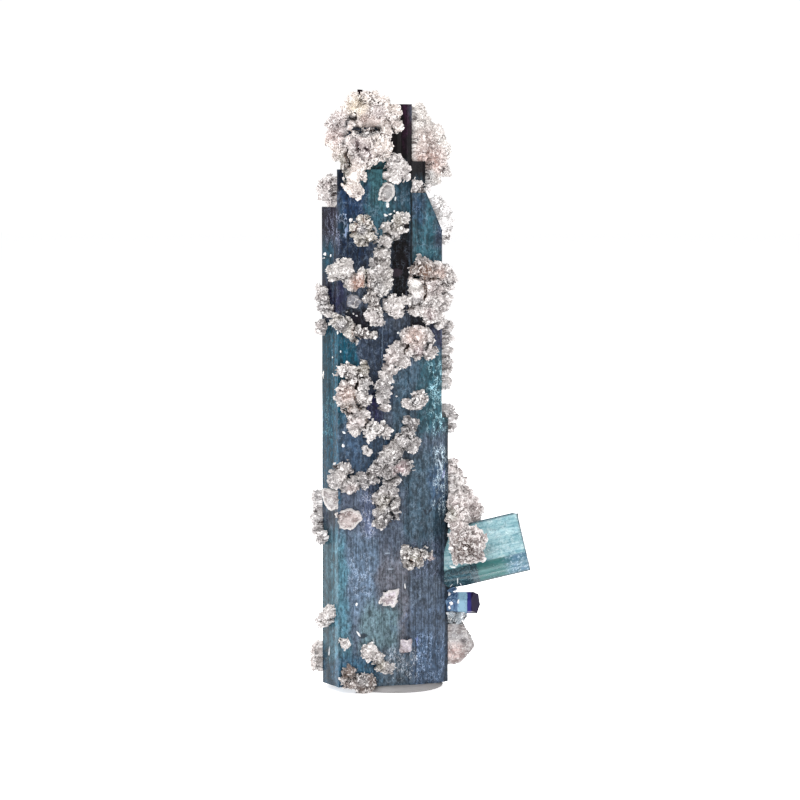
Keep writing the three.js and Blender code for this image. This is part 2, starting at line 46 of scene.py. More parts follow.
lamps = {
    "keyLamp": {"place": (-190, -260, 330), "size": 420, "power": 2.1, "aim": (0, 0, 32)},
    "rightLamp": {"place": (300, -150, 150), "size": 320, "power": 0.5, "aim": (0, 0, 30)},
    "topLamp": {"place": (20, 40, 420), "size": 260, "power": 1.1, "aim": (0, 0, 30)},
    "backLamp": {"place": (-60, 320, 240), "size": 300, "power": 0.8, "aim": (0, 0, 30)},
}

studio = {"sky": 0.34, "backdrop": 1.05, "floorSize": 4.0, "floorTone": (250, 250, 251), "floorGlow": 0.7}


def fromMm(point):
    return Vector(point) * mm


def aimed(thing, target):
    # turns a lamp or camera so that it looks at the target
    direction = fromMm(target) - thing.location
    thing.rotation_euler = direction.to_track_quat("-Z", "Y").to_euler()


def setCamera():
    lift = math.radians(view["lift"])
    offset = Vector((0, -math.cos(lift), math.sin(lift))) * view["distance"]
    bpy.ops.object.camera_add(location=fromMm(Vector(view["target"]) + offset))
    camera = bpy.context.object
    camera.name = "camera"
    camera.data.lens = view["lens"]
    camera.data.sensor_width = 36
    camera.data.clip_start = 0.01
    camera.data.clip_end = 50
    aimed(camera, view["target"])
    bpy.context.scene.camera = camera


def setLamps():
    for name, lamp in lamps.items():
        bpy.ops.object.light_add(type="AREA", location=fromMm(lamp["place"]))
        made = bpy.context.object
        made.name = name
        made.data.energy = lamp["power"]
        made.data.size = lamp["size"] * mm
        aimed(made, lamp["aim"])


# shader and geometry sheets

def toned(red, green, blue):
    # a colour given as on screen, 0 to 255, as the light values that shaders take
    def linear(value):
        part = value / 255
        return part / 12.92 if part <= 0.04045 else ((part + 0.055) / 1.055) ** 2.4
    return (linear(red), linear(green), linear(blue), 1.0)


def tonesOf(settings):
    # the tones among a piece's settings, ready for its shader
    return {name: toned(*value) for name, value in settings.items()
            if isinstance(value, tuple) and len(value) == 3}


class Wire:
    # an output socket that can stand in sums
    def __init__(self, sheet, socket):
        self.sheet = sheet
        self.socket = socket

    def __add__(self, other):
        return self.sheet.sum("ADD", self, other)

    def __sub__(self, other):
        return self.sheet.sum("SUBTRACT", self, other)

    def __rsub__(self, other):
        return self.sheet.sum("SUBTRACT", other, self)

    def __mul__(self, other):
        return self.sheet.sum("MULTIPLY", self, other)

    def __rtruediv__(self, other):
        return self.sheet.sum("DIVIDE", other, self)

    def __abs__(self):
        return self.sheet.sum("ABSOLUTE", self)

    def atLeast(self, other):
        return self.sheet.sum("MAXIMUM", self, other)

    __radd__ = __add__
    __rmul__ = __mul__


class Sheet:
    # a node tree that is filled from expressions
    def __init__(self, tree):
        self.tree = tree

    def feed(self, socket, value):
        if isinstance(value, Wire):
            self.tree.links.new(value.socket, socket)
        else:
            socket.default_value = value

    def node(self, kind, settings=None, inputs=None, out=0):
        made = self.tree.nodes.new(kind)
        for name, value in (settings or {}).items():
            setattr(made, name, value)
        for name, value in (inputs or {}).items():
            self.feed(made.inputs[name], value)
        return Wire(self, made.outputs[out])

    def sum(self, operation, *values):
        return self.node("ShaderNodeMath", {"operation": operation}, dict(enumerate(values)))

    def vector(self, operation, *values):
        return self.node("ShaderNodeVectorMath", {"operation": operation}, dict(enumerate(values)))

    def blend(self, factor, first, second, kind="MIX"):
        settings = {"data_type": "RGBA", "blend_type": kind}
        return self.node("ShaderNodeMix", settings, {0: factor, 6: first, 7: second}, 2)

    def ease(self, value, low, high, start=0.0, end=1.0):
        # 0 below low and 1 above high, with a soft step between
        inputs = {"Value": value, "From Min": low, "From Max": high, "To Min": start, "To Max": end}
        return self.node("ShaderNodeMapRange", {"interpolation_type": "SMOOTHSTEP"}, inputs)

    def noise(self, place, scale, detail=2.0, rough=0.5):
        inputs = {"Vector": place, "Scale": scale, "Detail": detail, "Roughness": rough}
        return self.node("ShaderNodeTexNoise", None, inputs)

    def cells(self, place, scale, feature="F1", out=0):
        return self.node("ShaderNodeTexVoronoi", {"feature": feature},
                         {"Vector": place, "Scale": scale}, out)

    def cracks(self, place, scale, width):
        # 1 along a net of fine cracks
        return 1 - self.ease(self.cells(place, scale, "DISTANCE_TO_EDGE"), 0.0, width)

    def between(self, value, low, high, soft):
        return self.ease(value, low - soft, low + soft) * (1 - self.ease(value, high - soft, high + soft))

    def oval(self, x, z, place, size, turn=0.0):
        # 1 inside a soft-edged oval of the given width and height, turned by some degrees
        cos, sin = math.cos(math.radians(turn)), math.sin(math.radians(turn))
        right, up = x - place[0], z - place[1]
        u = (right * cos + up * sin) * (2 / size[0])
        v = (up * cos - right * sin) * (2 / size[1])
        return 1 - self.ease(u * u + v * v, 0.45, 1.25)

    def bump(self, height, strength, distance):
        return self.node("ShaderNodeBump", None,
                         {"Strength": strength, "Distance": distance * mm, "Height": height})


class Paint(Sheet):
    # a material's sheet, with its place in millimetres on the object at hand
    def __init__(self, name):
        self.material = bpy.data.materials.new(name)
        self.material.use_nodes = True
        super().__init__(self.material.node_tree)
        self.shader = self.tree.nodes["Principled BSDF"]
        self.place = self.vector("MULTIPLY", self.node("ShaderNodeTexCoord", None, None, 3), (1000.0,) * 3)
        apart = self.node("ShaderNodeSeparateXYZ", None, {0: self.place}).socket.node
        self.x, self.y, self.z = (Wire(self, socket) for socket in apart.outputs)

    def drawn(self, part):
        # the place with its height scaled, which draws a pattern out along z or packs it
        return self.vector("MULTIPLY", self.place, (1.0, 1.0, part))

    def warped(self, scale, push):
        # the place pushed about, by up to so many millimetres
        turn = self.node("ShaderNodeTexNoise", None, {"Vector": self.place, "Scale": scale}, 1)
        return self.vector("ADD", self.place, self.vector("MULTIPLY", turn, (push,) * 3))

    def attribute(self, name, out=2):
        return self.node("ShaderNodeAttribute", {"attribute_name": name}, None, out)

    def finish(self, **sockets):
        for name, value in sockets.items():
            self.feed(self.shader.inputs[name.replace("_", " ")], value)
        return self.material

    def absorb(self, tone, density):
        made = self.tree.nodes.new("ShaderNodeVolumeAbsorption")
        made.inputs["Color"].default_value = tone
        made.inputs["Density"].default_value = density
        output = self.tree.nodes["Material Output"]
        self.tree.links.new(made.outputs[0], output.inputs["Volume"])


# handling of pieces

def alone(piece):
    bpy.ops.object.select_all(action="DESELECT")
    piece.select_set(True)
    bpy.context.view_layer.objects.active = piece


def withModifier(piece, kind, **settings):
    # adds one modifier, sets it up and applies it
    alone(piece)
    bpy.ops.object.modifier_add(type=kind)
    modifier = piece.modifiers[-1]
    for name, value in settings.items():
        setattr(modifier, name, value)
    bpy.ops.object.modifier_apply(modifier=modifier.name)


def copyOf(nodeName, name):
    # a merged copy of a solid from the frame, to be refined
    piece = bpy.data.objects.new(name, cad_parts[nodeName].data.copy())
    bpy.context.scene.collection.objects.link(piece)
    piece.data.materials.clear()
    alone(piece)
    bpy.ops.mesh.customdata_custom_splitnormals_clear()
    bpy.ops.object.mode_set(mode="EDIT")
    bpy.ops.mesh.select_all(action="SELECT")
    bpy.ops.mesh.remove_doubles(threshold=0.001 * mm)
    bpy.ops.mesh.normals_make_consistent(inside=False)
    bpy.ops.object.mode_set(mode="OBJECT")
    return piece


def joinedTo(piece, others):
    alone(piece)
    for other in others:
        other.select_set(True)
    bpy.ops.object.join()


def settle(piece, slotName, material, *nodeNames):
    piece.data.materials.clear()
    piece.data.materials.append(material)
    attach(piece, "root")
    if nodeNames:
        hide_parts(*nodeNames)


def removed(*pieces):
    for piece in pieces:
        bpy.data.objects.remove(piece)


def layFloor():
    bpy.ops.object.select_all(action="DESELECT")
    bpy.ops.mesh.primitive_plane_add(size=studio["floorSize"], location=(0, 0, -0.02 * mm))
    floor = bpy.context.object
    floor.name = "floor"
    paint = Paint("floorPaint")
    floor.data.materials.append(paint.finish(
        Base_Color=toned(*studio["floorTone"]), Roughness=0.9, Specular_IOR_Level=0.1,
        Emission_Color=toned(*studio["floorTone"]), Emission_Strength=studio["floorGlow"]))


def setSky():
    # an even pale sky, brighter where the camera sees it, so that the backdrop is white
    world = bpy.data.worlds.new("sky")
    bpy.context.scene.world = world
    world.use_nodes = True
    sheet = Sheet(world.node_tree)
    background = world.node_tree.nodes["Background"]
    background.inputs["Color"].default_value = (1, 1, 1, 1)
    seen = sheet.node("ShaderNodeLightPath")
    strength = studio["sky"] + seen * (studio["backdrop"] - studio["sky"])
    sheet.feed(background.inputs["Strength"], strength)


setCamera()
setLamps()
setSky()
layFloor()
print("camera, lamps and floor are set")


# striations

def dissolved(piece):
    # merges the triangles of flat faces, and leaves the piece in edit mode
    alone(piece)
    bpy.ops.object.mode_set(mode="EDIT")
    bpy.ops.mesh.select_all(action="SELECT")
    bpy.ops.mesh.dissolve_limited(angle_limit=math.radians(0.5))


def rootedDeeper(piece, depth=0.6):
    # pushes the flat left end of a flank crystal into the prism, so that they are grown together
    start = min(vertex.co.x for vertex in piece.data.vertices)
    for vertex in piece.data.vertices:
        vertex.select = vertex.co.x < start + 0.05 * mm
    for polygon in piece.data.polygons:
        polygon.select = False
    alone(piece)
    bpy.ops.object.mode_set(mode="EDIT")
    bpy.ops.mesh.select_mode(type="VERT")
    bpy.ops.transform.translate(value=(-depth * mm, 0, 0))
    bpy.ops.object.mode_set(mode="OBJECT")


def striated(piece, shape, across, along, seed):
    # cuts the faces into narrow strips and steps them in and out, along the crystal's axis
    roll = random.Random(seed)
    dissolved(piece)
    corners = [Vector(corner) for corner in piece.bound_box]
    strips = (across, shape["spacing"], shape["jitter"])
    steps = (along, shape["length"], shape["stepJitter"])
    for direction, gap, spread in (strips, steps):
        reach = [direction.dot(corner) / mm for corner in corners]
        cut = min(reach) + gap
        while cut < max(reach) - 0.3 * gap:
            bpy.ops.mesh.select_all(action="SELECT")
            bpy.ops.mesh.bisect(plane_co=direction * cut * mm, plane_no=direction, threshold=1e-7)
            cut += gap * roll.uniform(1 - spread, 1 + spread)
    bpy.ops.object.mode_set(mode="OBJECT")
    for i, (width, relief) in enumerate(shape["reliefs"]):
        # a cloud texture drawn out along the axis steps the strips
        bpy.ops.object.empty_add()
        stretch = bpy.context.object
        stretch.rotation_euler = along.to_track_quat("Z", "Y").to_euler()
        stretch.scale = (1, 1, shape["stretch"])
        stretch.location = (roll.uniform(0, 0.1), roll.uniform(0, 0.1), 0)
        bpy.context.view_layer.update()
        texture = bpy.data.textures.new(f"{piece.name}Striation{i}", "CLOUDS")
        texture.noise_scale = width * mm
        withModifier(piece, "DISPLACE", texture=texture, texture_coords="OBJECT",
                     texture_coords_object=stretch, strength=relief * mm, mid_level=0.5)
        removed(stretch)
    alone(piece)
    bpy.ops.object.shade_flat()


# the tall prism

prismShape = {
    "spacing": 0.15, "jitter": 0.55,  # mm between the fine striations
    "length": 0.6, "stepJitter": 0.3,  # mm between the cuts across them
    "reliefs": [(0.5, 0.03), (0.16, 0.03)],  # width and relief, mm
    "stretch": 45,  # how far the reliefs are drawn out along the crystal
    "zoneEdge": (0.45, 1.0), "frostEdge": (0.4, 0.6),  # mm, how softly the zones end in x and z
    "tone": (70, 80, 96), "thinFrost": (0.5, 0.6, 0.7, 1.0),
    "flank": (-5.4, -4.8),  # mm, left of here the crystal is darker
    "index": 1.63, "absorbed": (0.12, 0.42, 0.62, 1.0), "density": 400.0, "clear": 0.15, "gloss": 0.03,
}

# Colour zones of the prism, as soft boxes: x from and to, z from and to, in mm, and the tone.
# Later ones lie over earlier ones.
prismZones = [
    (-4.5, 2.7, 44.8, 53.6, (52, 86, 100)), (-1.9, 0.9, 48.0, 53.2, (54, 92, 100)),
    (-5.0, -3.6, 49.2, 53.6, (22, 32, 46)), (-4.4, -1.6, 46.6, 50.2, (34, 54, 82)),
    (0.9, 2.7, 47.4, 51.8, (40, 66, 80)), (-6.8, -4.6, 44.4, 50.0, (28, 24, 44)),
    (-6.8, -4.9, 41.2, 44.2, (24, 82, 104)), (-4.9, -1.2, 42.2, 45.6, (26, 40, 62)),
    (-6.8, -3.9, 37.2, 41.4, (30, 32, 60)), (-6.8, -2.4, 27.5, 36.4, (10, 74, 94)),
    (0.3, 2.8, 52.6, 62.0, (14, 8, 10)), (1.9, 2.8, 54.0, 62.0, (44, 22, 40)),
    (2.3, 5.0, 49.4, 55.0, (16, 12, 16)), (2.7, 6.2, 40.4, 49.6, (46, 82, 94)),
    (2.6, 3.9, 46.6, 49.4, (42, 62, 82)), (5.0, 6.2, 43.5, 48.2, (34, 46, 66)),
    (2.7, 6.0, 40.0, 42.4, (26, 56, 72)), (4.4, 6.6, 33.4, 38.2, (38, 42, 66)),
    (3.2, 6.6, 25.5, 33.6, (42, 78, 90)), (-2.5, 1.2, 28.6, 36.8, (44, 56, 75)),
    (0.8, 3.4, 25.0, 33.0, (60, 82, 98)), (-1.6, -0.4, 27.0, 30.0, (28, 22, 70)),
    (-6.8, -4.4, 18.6, 28.0, (6, 78, 104)), (-4.4, 0.8, 20.0, 26.0, (50, 70, 92)),
    (2.0, 6.8, 15.0, 24.0, (56, 76, 90)), (4.6, 6.8, 18.8, 23.4, (54, 76, 100)),
    (-4.4, 0.2, 14.0, 20.4, (78, 88, 106)), (-2.2, -0.9, 15.6, 20.6, (94, 106, 134)),
    (-6.8, -3.4, 3.0, 16.0, (72, 112, 128)), (-3.8, -0.6, 8.0, 15.5, (86, 104, 124)),
    (-0.6, 2.4, 5.0, 14.0, (94, 96, 106)), (2.4, 6.8, 3.0, 14.5, (68, 80, 96)),
    (-2.6, 1.4, 4.4, 8.4, (86, 108, 116)), (-6.8, 1.0, -2.0, 3.6, (48, 84, 107)),
    (-0.4, 3.2, -2.0, 4.2, (82, 98, 112)), (2.6, 6.8, -2.0, 5.4, (60, 78, 100)),
    # The last three zones are dark patches, in the recess beside the spine crust and under two crust
    # clusters.
    (0.65, 2.6, 38.6, 46.4, (22, 16, 22)), (-4.1, -1.3, 35.8, 38.4, (18, 14, 26)),
    (2.7, 5.2, 35.4, 38.0, (22, 20, 34)),
]

# Where the faces are frosted with healed cracks: x from and to, z from and to, how dense, and the tone.
frostedZones = [
    (-6.0, -4.2, 44.2, 47.8, 0.75, (170, 178, 206)), (-4.4, -3.2, 45.2, 48.0, 1.0, (170, 184, 206)),
    (2.4, 3.6, 46.4, 48.8, 0.7, (120, 150, 190)), (2.9, 5.6, 42.6, 44.2, 0.5, (110, 165, 180)),
    (4.2, 6.3, 25.6, 33.0, 1.0, (170, 214, 226)), (-6.4, -5.0, 25.0, 29.6, 0.8, (120, 190, 210)),
    (4.9, 6.4, 17.6, 24.6, 1.0, (206, 226, 238)), (-3.6, -1.2, 9.4, 14.0, 0.75, (156, 172, 194)),
    (-6.0, -3.4, 8.4, 15.4, 0.4, (120, 165, 180)), (2.6, 5.6, 11.2, 15.2, 0.5, (150, 162, 194)),
    (0.2, 6.2, 5.6, 8.6, 0.35, (110, 136, 172)), (2.6, 6.3, 0.6, 5.8, 0.62, (150, 172, 204)),
    (0.0, 3.4, 1.2, 4.2, 1.0, (196, 202, 212)), (-6.2, -4.8, 2.6, 6.0, 0.4, (140, 176, 198)),
    (-2.2, -0.9, 15.4, 20.4, 0.9, (184, 190, 206)), (-6.4, 6.2, 0.5, 50.0, 0.3, (142, 160, 178)),
]

# Dark lines: the first five are painted shade along the prism's outer edges and the steps where its columns
# meet, the others are finer seams in the crystal; x, z limits, width in mm and depth.
prismSeamsAndEdgeShade = [
    (-6.38, (-1, 47), 0.22, 0.7), (-5.0, (-1, 36), 0.1, 0.5), (-4.85, (36, 49), 0.12, 0.6),
    (2.66, (35, 50), 0.14, 0.85), (6.22, (-1, 36), 0.26, 0.65), (-5.6, (2, 22), 0.06, 0.35),
    (1.7, (3, 12), 0.07, 0.35), (2.5, (2, 13), 0.07, 0.4), (3.1, (1, 9), 0.08, 0.5),
    (3.7, (4, 13), 0.06, 0.4), (4.4, (3, 16), 0.07, 0.4), (5.1, (2, 18), 0.06, 0.45),
    (5.7, (8, 20), 0.07, 0.4), (-0.5, (12, 22), 0.05, 0.3), (0.4, (30, 37), 0.06, 0.4),
    (-2.6, (36, 46), 0.08, 0.4), (3.3, (36, 48), 0.06, 0.3), (-3.6, (40, 52), 0.07, 0.4),
]

# Scratches and inclusions on the front faces: x, z, width, height, turn in degrees, and the tone.
prismMarks = [
    (-3.7, 45.9, 0.3, 1.5, -12, (140, 158, 190)), (1.1, 41.7, 1.5, 0.9, 0, (74, 62, 74)),
    (-0.8, 45.9, 0.3, 0.9, 20, (206, 204, 206)), (0.5, 45.8, 0.25, 1.1, -25, (176, 172, 176)),
    (2.18, 38.9, 0.34, 2.2, 0, (120, 122, 138)), (-3.2, 39.4, 0.95, 0.62, 0, (150, 156, 172)),
    (5.55, 22.6, 0.2, 1.4, 18, (200, 214, 226)), (5.9, 21.6, 0.16, 1.0, -14, (146, 150, 190)),
    (4.1, 17.9, 0.24, 0.9, 28, (16, 18, 28)), (4.6, 18.0, 0.24, 1.0, -28, (16, 18, 28)),
    (0.35, 13.9, 0.5, 0.08, 0, (170, 184, 200)), (0.65, 12.3, 0.5, 0.08, 4, (170, 184, 200)),
    (-2.1, 5.7, 0.7, 0.62, 25, (24, 32, 44)), (-1.08, 5.0, 0.14, 0.85, 0, (176, 186, 190)),
    (3.25, 5.0, 0.1, 1.1, 0, (130, 150, 210)), (-0.2, 34.8, 0.1, 4.6, 0, (104, 120, 140)),
]

# Small chips of cleavelandite that lie on the front faces: x, z, width, height, turn, tone.
prismChips = [
    (-3.3, 46.9, 0.5, 0.65, 0, (226, 228, 236)), (0.3, 48.4, 0.42, 0.72, 0, (190, 214, 218)),
    (1.08, 49.0, 0.18, 0.5, 10, (170, 204, 212)), (-2.45, 49.8, 0.45, 0.7, 20, (176, 172, 204)),
    (-0.1, 46.5, 1.9, 0.42, -6, (232, 228, 228)), (-5.8, 43.55, 0.5, 0.36, 10, (222, 228, 234)),
    (-5.25, 43.4, 0.36, 0.3, -25, (206, 214, 222)), (0.1, 47.4, 0.5, 0.3, 20, (206, 216, 222)),
    (0.62, 47.5, 0.5, 0.26, -15, (190, 206, 214)), (0.98, 47.8, 0.26, 0.22, 30, (206, 214, 222)),
    (-3.75, 37.9, 0.34, 0.26, 0, (200, 200, 206)), (-3.05, 37.7, 0.26, 0.24, 0, (210, 208, 212)),
    (-2.75, 37.5, 0.26, 0.2, 0, (190, 188, 196)), (1.4, 35.8, 0.3, 0.2, 0, (190, 205, 210)),
    (-5.1, 33.4, 0.2, 0.2, 0, (180, 200, 205)), (-4.3, 34.0, 0.16, 0.26, 0, (190, 205, 210)),
    (1.2, 29.5, 0.34, 0.2, 0, (200, 206, 214)), (-6.05, 31.6, 0.3, 0.9, 0, (208, 205, 190)),
    (-4.0, 26.0, 0.5, 0.2, 30, (190, 205, 215)), (-4.05, 24.7, 0.5, 0.4, 50, (168, 186, 200)),
    (2.05, 10.5, 0.14, 0.6, 0, (214, 220, 226)), (-2.75, 8.9, 0.26, 0.4, 0, (190, 205, 214)),
    (-2.55, 5.9, 0.22, 0.66, -35, (176, 192, 206)), (-5.5, 4.0, 0.14, 1.3, 4, (150, 180, 205)),
    (-5.9, 43.15, 0.7, 0.12, -4, (190, 196, 204)), (7.1, 9.6, 0.16, 1.1, 24, (206, 214, 222)),
    (7.3, 11.0, 0.12, 1.3, 0, (112, 160, 176)), (6.5, 9.3, 0.3, 0.55, -10, (186, 194, 204)),
    (6.75, 8.6, 0.5, 0.5, 30, (160, 174, 188)), (6.5, 8.1, 0.36, 0.4, 0, (198, 202, 208)),
    (7.4, 8.8, 0.3, 0.6, 14, (150, 170, 186)), (6.75, 10.4, 0.1, 0.8, 38, (96, 130, 166)),
    (7.6, 10.5, 0.1, 0.8, -32, (84, 116, 156)), (6.8, 12.3, 0.9, 0.36, 14, (128, 186, 190)),
]


def softStep(value, low, high):
    # 0 at low and 1 at high, eased at both ends
    part = min(1.0, max(0.0, (value - low) / (high - low)))
    return part * part * (3 - 2 * part)


def inZone(zone, x, z, soft):
    # how far inside a zone a point lies, 0 to 1
    fromX, toX, fromZ, toZ = zone[:4]
    part = 1.0
    for value, low, high, edge in ((x, fromX, toX, soft[0]), (z, fromZ, toZ, soft[1])):
        part *= softStep(value, low - edge, low + edge) * (1 - softStep(value, high - edge, high + edge))
    return part


def between(first, second, part):
    # the tone that lies so far from the first to the second
    return [a + (b - a) * part for a, b in zip(first, second)]


def zoned(prism):
    # brushes the colour zones and the frosting onto the prism's points
    for name, kind in (("zone", "FLOAT_COLOR"), ("frost", "FLOAT_COLOR"), ("frosted", "FLOAT")):
        prism.data.attributes.new(name, kind, "POINT")
    tones, frosts, amounts = (prism.data.attributes[name].data for name in ("zone", "frost", "frosted"))
    for i, vertex in enumerate(prism.data.vertices):
        place = vertex.co / mm
        # the zones' edges wander
        level = Vector((place.x * 5, place.y * 5, 0))
        x = place.x + noise.noise(place * 0.7) * 0.6 + noise.noise(place * 2.1) * 0.3
        z = place.z + noise.noise(place * 0.5) * 1.4 + noise.noise(level) * 0.8
        tone = toned(*prismShape["tone"])
        for zone in prismZones:
            part = inZone(zone, x, z, prismShape["zoneEdge"])
            if part > 0:
                tone = between(tone, toned(*zone[4]), part)
        tones[i].color = tone
        most, frost = 0.0, prismShape["thinFrost"]
        for zone in frostedZones:
            part = inZone(zone, place.x, place.z, prismShape["frostEdge"]) * zone[4]
            if part > most:
                most, frost = part, toned(*zone[5])
        amounts[i].value = most
        frosts[i].color = frost


def frostNet(paint):
    # frosting: a net of fine pale cracks and specks
    warped = paint.vector("MULTIPLY", paint.warped(3.0, 0.5), (1.0, 1.0, 0.6))
    cracks = paint.cracks(warped, 3.4, 0.1)
    patchy = paint.ease(paint.noise(paint.drawn(0.5), 2.1, 3.0), 0.42, 0.56)
    specks = paint.ease(paint.noise(paint.place, 7.0, 2.0, 0.6), 0.58, 0.64)
    return (cracks * 0.9).atLeast(specks * 0.7) * patchy * paint.attribute("frosted")


def prismPaint():
    paint = Paint("blueTourmaline")
    fine = paint.noise(paint.drawn(0.05), 7.0, 3.0, 0.6)
    broad = paint.noise(paint.drawn(0.05), 1.6, 2.0)
    cloud = paint.noise(paint.place, 0.9, 4.0, 0.6)
    mottle = paint.noise(paint.drawn(0.6), 3.6, 5.0, 0.72)
    tone = paint.attribute("zone", 0)
    net = frostNet(paint)
    tone = paint.blend(net, tone, paint.attribute("frost", 0))
    hairs = paint.ease(paint.noise(paint.drawn(0.14), 9.0, 2.0, 0.5), 0.36, 0.3)
    # fine lines along the crystal, seams with painted shade at the outer edges and column steps, and clouds
    lines = 1 + (paint.ease(fine, 0.3, 0.7, 0.6, 1.35) - 1) * paint.ease(cloud, 0.4, 0.6, 1.1, 0.45)
    lines = lines * paint.ease(broad, 0.3, 0.7, 0.86, 1.1)
    shade = lines * paint.ease(cloud, 0.3, 0.72, 0.68, 1.24) * paint.ease(mottle, 0.38, 0.62, 0.5, 1.4)
    shade = shade * (1 - hairs * 0.55)
    # painted shade at the outer edges and column steps, and darker finer seams
    for place, reach, width, depth in prismSeamsAndEdgeShade:
        near = 1 - paint.ease(abs(paint.x + (broad - 0.5) * 0.12 - place), width * 0.4, width)
        shade = shade * (1 - near * paint.between(paint.z, *reach, 0.8) * depth)
    shade = shade * paint.ease(paint.x, *prismShape["flank"], 0.5, 1.0)
    grey = paint.node("ShaderNodeCombineColor", None, {0: shade, 1: shade, 2: shade})
    tone = paint.blend(1.0, tone, grey, "MULTIPLY")
    # scratches and inclusions
    front = 1 - paint.ease(paint.y, -0.6, 0.6)
    ragged = paint.x + (mottle - 0.5) * 0.8
    for x, z, width, height, turn, hue in prismMarks:
        mask = paint.oval(ragged, paint.z, (x, z), (width, height), turn) * front
        tone = paint.blend(mask * 0.8, tone, toned(*hue))
    rough = 0.14 + (1 - fine) * 0.12 + net * 0.2
    paint.absorb(prismShape["absorbed"], prismShape["density"])
    normal = paint.bump(fine * 0.6 + mottle * 0.4, 0.4, 0.04)
    return paint.finish(Base_Color=tone, Roughness=rough, Normal=normal, IOR=prismShape["index"],
                        Specular_IOR_Level=prismShape["gloss"], Transmission_Weight=prismShape["clear"])


def makePrism():
    prism = copyOf("tourmaline_prism", "prism")
    striated(prism, prismShape, Vector((1, 0, 0)), Vector((0, 0, 1)), seed=5)
    zoned(prism)
    settle(prism, "blue_tourmaline", prismPaint(), "tourmaline_prism")
    return prism


prism = makePrism()
print("the tall prism is done,", len(prism.data.polygons), "faces")


# the pale side crystal

sideShape = {
    "lean": 13.5, "swing": 2.0,  # degrees, as the solid's
    "spacing": 0.22, "jitter": 0.5, "length": 1.8, "stepJitter": 0.3,
    "reliefs": [(0.6, 0.04), (0.2, 0.03)], "stretch": 45,
    "end": 17.07, "low": 8.08, "high": 14.13,  # mm, the faces' limits along and across the axis
    "band": 10.2,  # mm, the foot of the pale part, across the axis
    "corner": 0.5,  # mm, the cut of the upper corner
    "pale": (150, 188, 194), "streak": (104, 154, 164), "milk": (190, 210, 212), "grain": (96, 142, 154),
    "crack": (80, 122, 136), "edge": (48, 70, 80),
    "foot": (60, 116, 114), "footEnd": (84, 122, 146), "footCloud": (44, 92, 96), "frost": (176, 200, 216),
    "slate": (36, 52, 66), "slateGrain": (74, 100, 112),
    "index": 1.62, "absorbed": (0.5, 0.78, 0.82, 1.0), "density": 120.0, "clear": 0.35, "gloss": 0.25,
}


def sidePaint():
    paint = Paint("paleTourmaline")
    hue = tonesOf(sideShape)
    cos, sin = math.cos(math.radians(sideShape["lean"])), math.sin(math.radians(sideShape["lean"]))
    along = paint.x * cos + paint.z * sin
    across = paint.z * cos - paint.x * sin
    axes = paint.node("ShaderNodeCombineXYZ", None, {0: along * 0.12, 1: paint.y, 2: across})
    streaks = paint.noise(axes, 4.0, 4.0, 0.65)
    cloud = paint.noise(paint.place, 1.3, 4.0, 0.6)
    grain = paint.noise(paint.place, 4.5, 4.0, 0.7)
    cracks = paint.cracks(paint.warped(1.4, 1.6), 1.5, 0.07)
    low = 1 - paint.ease(across + (streaks - 0.5) * 0.06, sideShape["band"] - 0.08, sideShape["band"] + 0.08)
    tone = paint.blend(paint.ease(streaks, 0.44, 0.6), hue["pale"], hue["streak"])
    tone = paint.blend(paint.ease(cloud, 0.48, 0.62) * 0.6, tone, hue["milk"])
    tone = paint.blend(paint.ease(grain, 0.52, 0.62) * 0.5, tone, hue["grain"])
    tone = paint.blend(cracks * 0.7, tone, hue["crack"])
    # the darker foot, bluer and frosted at its end
    foot = paint.blend(paint.ease(along, 14.2, 15.8), hue["foot"], hue["footEnd"])
    foot = paint.blend(paint.ease(cloud, 0.42, 0.6) * 0.5, foot, hue["footCloud"])
    frost = paint.ease(grain, 0.52, 0.6) * paint.ease(along, 14.0, 15.6)
    foot = paint.blend(frost * 0.8, foot, hue["frost"])
    tone = paint.blend(low, tone, foot)
    # slate root, and dark lines along the edges
    slate = paint.blend(paint.ease(grain, 0.48, 0.56), hue["slate"], hue["slateGrain"])
    tone = paint.blend((1 - paint.ease(along, 11.7, 12.0)) * low * 0.85, tone, slate)
    upper = 1 - paint.ease(abs(across - sideShape["high"]), 0.08, 0.26)
    lower = 1 - paint.ease(abs(across - sideShape["low"]), 0.08, 0.28)
    outer = 1 - paint.ease(abs(along - sideShape["end"]), 0.1, 0.26)
    tone = paint.blend(upper.atLeast(lower).atLeast(outer) * 0.9, tone, hue["edge"])
    paint.absorb(sideShape["absorbed"], sideShape["density"])
    rough = 0.12 + paint.ease(cloud, 0.5, 0.7) * 0.2
    normal = paint.bump(streaks * 0.6 + grain * 0.4, 0.35, 0.04)
    return paint.finish(Base_Color=tone, Roughness=rough, Normal=normal, IOR=sideShape["index"],
                        Specular_IOR_Level=sideShape["gloss"], Transmission_Weight=sideShape["clear"])


def cornerCut(piece, along, across):
    # bevels the edge between the crystal's upper side and its end
    dissolved(piece)
    bpy.ops.mesh.select_all(action="DESELECT")
    bpy.ops.mesh.select_mode(type="EDGE")
    bpy.ops.object.mode_set(mode="OBJECT")
    for edge in piece.data.edges:
        first, last = (piece.data.vertices[i].co / mm for i in edge.vertices)
        middle = (first + last) / 2
        atEnd = along.dot(middle) > sideShape["end"] - 0.4
        onTop = across.dot(middle) > sideShape["high"] - 0.4
        edge.select = atEnd and onTop and abs(last.y - first.y) > 0.6 * (last - first).length
    bpy.ops.object.mode_set(mode="EDIT")
    bpy.ops.mesh.bevel(offset=sideShape["corner"] * mm, segments=2, affect="EDGES")
    bpy.ops.mesh.select_mode(type="VERT")
    bpy.ops.object.mode_set(mode="OBJECT")


